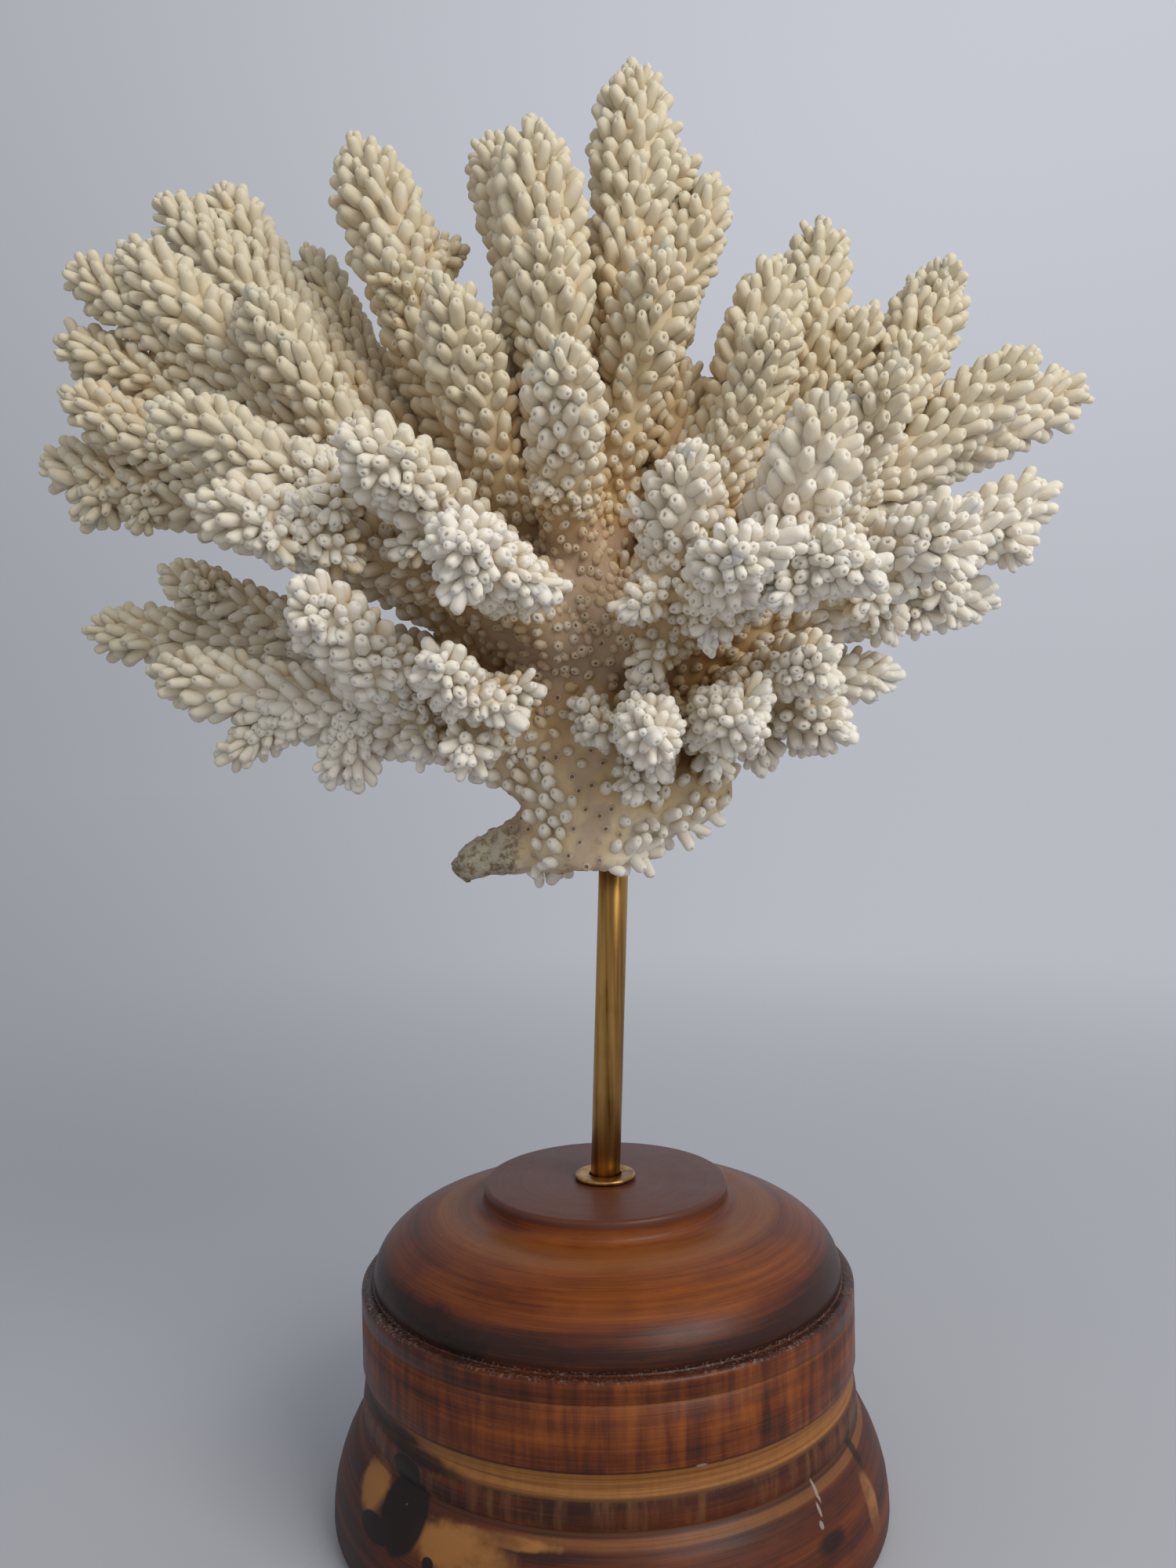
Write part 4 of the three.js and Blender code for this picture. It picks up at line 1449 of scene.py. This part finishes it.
    def build(self, coral: bpy.types.Material) -> list[bpy.types.Object]:
        """Makes the skeleton and all corallites, coarser or left out where the colony hides them."""
        axes = list(self.axes.values()) + self.twigs + self.buds
        body = self.skeleton.build(axes, coral)
        declare(body, "coral", "coral_stem")
        mesh = body.data
        self.tree = BVHTree.FromPolygons([v.co for v in mesh.vertices], [p.vertices for p in mesh.polygons])
        groups = {axis.name: self.seed_axis(axis) for axis in axes}
        roots = [(root, seeds, i) for seeds in groups.values() for i, root in enumerate(seeds.root)]
        taken = KDTree(len(roots))
        for number, (root, _, _) in enumerate(roots):
            taken.insert(root, number)
        taken.balance()
        tubes, pores = self.seed_stem(taken, mesh)
        groups["stem_tubes"] = tubes
        groups["stem_pores"] = pores
        tube = CoralliteMould(Shape.TUBE, 7)
        stub = CoralliteMould(Shape.STUB, 6)
        pore = CoralliteMould(Shape.PORE, 7)
        pieces = [body]
        for name, seeds in groups.items():
            seeds.openness = list(self.openness(seeds.column("root"), unit(seeds.column("aim"))))
            if name == "stem_pores":
                cast = pore.cast(seeds, np.arange(len(seeds.root)), self.random)
            else:
                seen = seeds.column("openness")
                open_ones = np.flatnonzero(seen > self.fine_above)
                half_open = (seen <= self.fine_above) & (seen > self.stubs_above)
                cast = tube.cast(seeds, open_ones, self.random)
                cast = cast.joined(stub.cast(seeds, np.flatnonzero(half_open), self.random))
            piece = add_object(f"corallites_{name}", cast.mesh(name), coral)
            declare(piece, "coral", *([name] if name in self.axes else []))
            pieces.append(piece)
            log.info("%s: %d corallites", name, len(seeds.root))
        everything = list(groups.values())
        columns = [np.concatenate([seeds.column(key) for seeds in everything])
                   for key in ("root", "openness", "growth")]
        self.shade_skeleton(mesh, *columns)
        return pieces

    def shade_skeleton(self, mesh: bpy.types.Mesh, places: np.ndarray, openness: np.ndarray,
                       growth: np.ndarray) -> None:
        """Gives the skeleton the growth and openness of the corallites nearest to it."""
        tree = KDTree(len(places))
        for i, place in enumerate(places):
            tree.insert(place, i)
        tree.balance()
        verts, _ = vertex_arrays(mesh)
        picks = [[(index, 1 / (gap + 0.4 * MM)) for _, index, gap in tree.find_n(p, 3)] for p in verts]
        weights = np.array([[w for _, w in pick] for pick in picks])
        indices = np.array([[i for i, _ in pick] for pick in picks])
        weights /= weights.sum(1, keepdims=True)
        # The skeleton's openness carries its painted crevice shade.
        store(mesh, "openness", (openness[indices] * weights).sum(1))
        store(mesh, "growth", (growth[indices] * weights).sum(1))
        # No relief on the skeleton: it takes the painted shade of the tubes' feet between them.
        store(mesh, "relief", np.zeros(len(verts)))
        store(mesh, "cup", np.zeros(len(verts)))


# ------------------------------------------------------------------ the studio


@dataclass(frozen=True)
class Lamp:
    """A square area light."""

    name: str
    place: tuple[float, float, float]
    size: float
    power: float
    colour: Colour

    def build(self, target: Sequence[float]) -> None:
        """Sets the light up, aimed at a target."""
        data = bpy.data.lights.new(self.name, "AREA")
        data.shape = "SQUARE"
        data.size = self.size
        data.energy = self.power
        data.color = self.colour
        made = bpy.data.objects.new(self.name, data)
        bpy.context.scene.collection.objects.link(made)
        made.location = self.place
        made.rotation_euler = (Vector(target) - Vector(self.place)).to_track_quat("-Z", "Y").to_euler()


@dataclass
class Studio:
    """The floor, the lights and the camera."""

    distance: float = 0.255
    height: float = 0.148
    aside: float = -0.002
    pitch: float = 0.8
    roll: float = 1.1
    lens: float = 28.8
    sensor: float = 36
    floor_radius: float = 9.0
    target: tuple[float, float, float] = (0, 0, 0.2)
    lamps: tuple[Lamp, ...] = (
        Lamp("window", (0.50, -0.58, 0.62), 0.5, 4.7, (1.0, 0.975, 0.93)),
        Lamp("fill", (-0.9, -0.6, 0.5), 0.9, 0.5, (0.92, 0.96, 1.0)),
    )

    def camera(self) -> None:
        """A close, level camera in front of the object."""
        data = bpy.data.cameras.new("camera")
        data.lens = self.lens
        data.sensor_width = self.sensor
        data.clip_start = 0.01
        data.clip_end = 50
        made = bpy.data.objects.new("camera", data)
        bpy.context.scene.collection.objects.link(made)
        level = Matrix.Rotation(math.radians(90 - self.pitch), 4, "X")
        rolled = Matrix.Rotation(math.radians(-self.roll), 4, "Z")
        made.matrix_world = Matrix.Translation((self.aside, -self.distance, self.height)) @ level @ rolled
        bpy.context.scene.camera = made

    def floor(self) -> None:
        """A wide pale floor."""
        bm = bmesh.new()
        bmesh.ops.create_circle(bm, cap_ends=True, segments=96, radius=self.floor_radius)
        mesh = bpy.data.meshes.new("floor")
        bm.to_mesh(mesh)
        bm.free()
        add_object("floor", mesh, FloorFinish().material())

    def world(self) -> None:
        """Soft, slightly cool light from all round."""
        world = bpy.data.worlds.new("sky")
        bpy.context.scene.world = world
        g = Graph(world)
        heading = g.node("ShaderNodeTexCoord", output="Generated")
        light = g.node("ShaderNodeBackground", None, {"Color": Surroundings().colour(g, heading)})
        g.node("ShaderNodeOutputWorld", None, {"Surface": light})

    def build(self) -> None:
        """Sets everything up."""
        self.camera()
        self.floor()
        self.world()
        for lamp in self.lamps:
            lamp.build(self.target)
        bpy.context.scene.view_settings.view_transform = "Standard"


# ------------------------------------------------------------------ the whole


def main() -> None:
    """Builds the object and the studio round it."""
    logging.basicConfig(level=logging.INFO, format="%(message)s")
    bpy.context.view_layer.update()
    Studio().build()
    TurnedBase().build(WoodFinish().material())
    BrassPost().build(BrassFinish().material())
    pieces = Colony().build(CoralFinish().material())
    triangles = [sum(len(p.vertices) - 2 for p in piece.data.polygons) for piece in pieces]
    log.info("coral: %d pieces, %d triangles, skeleton %d", len(pieces), sum(triangles), triangles[0])


if __name__ == "__main__":
    main()
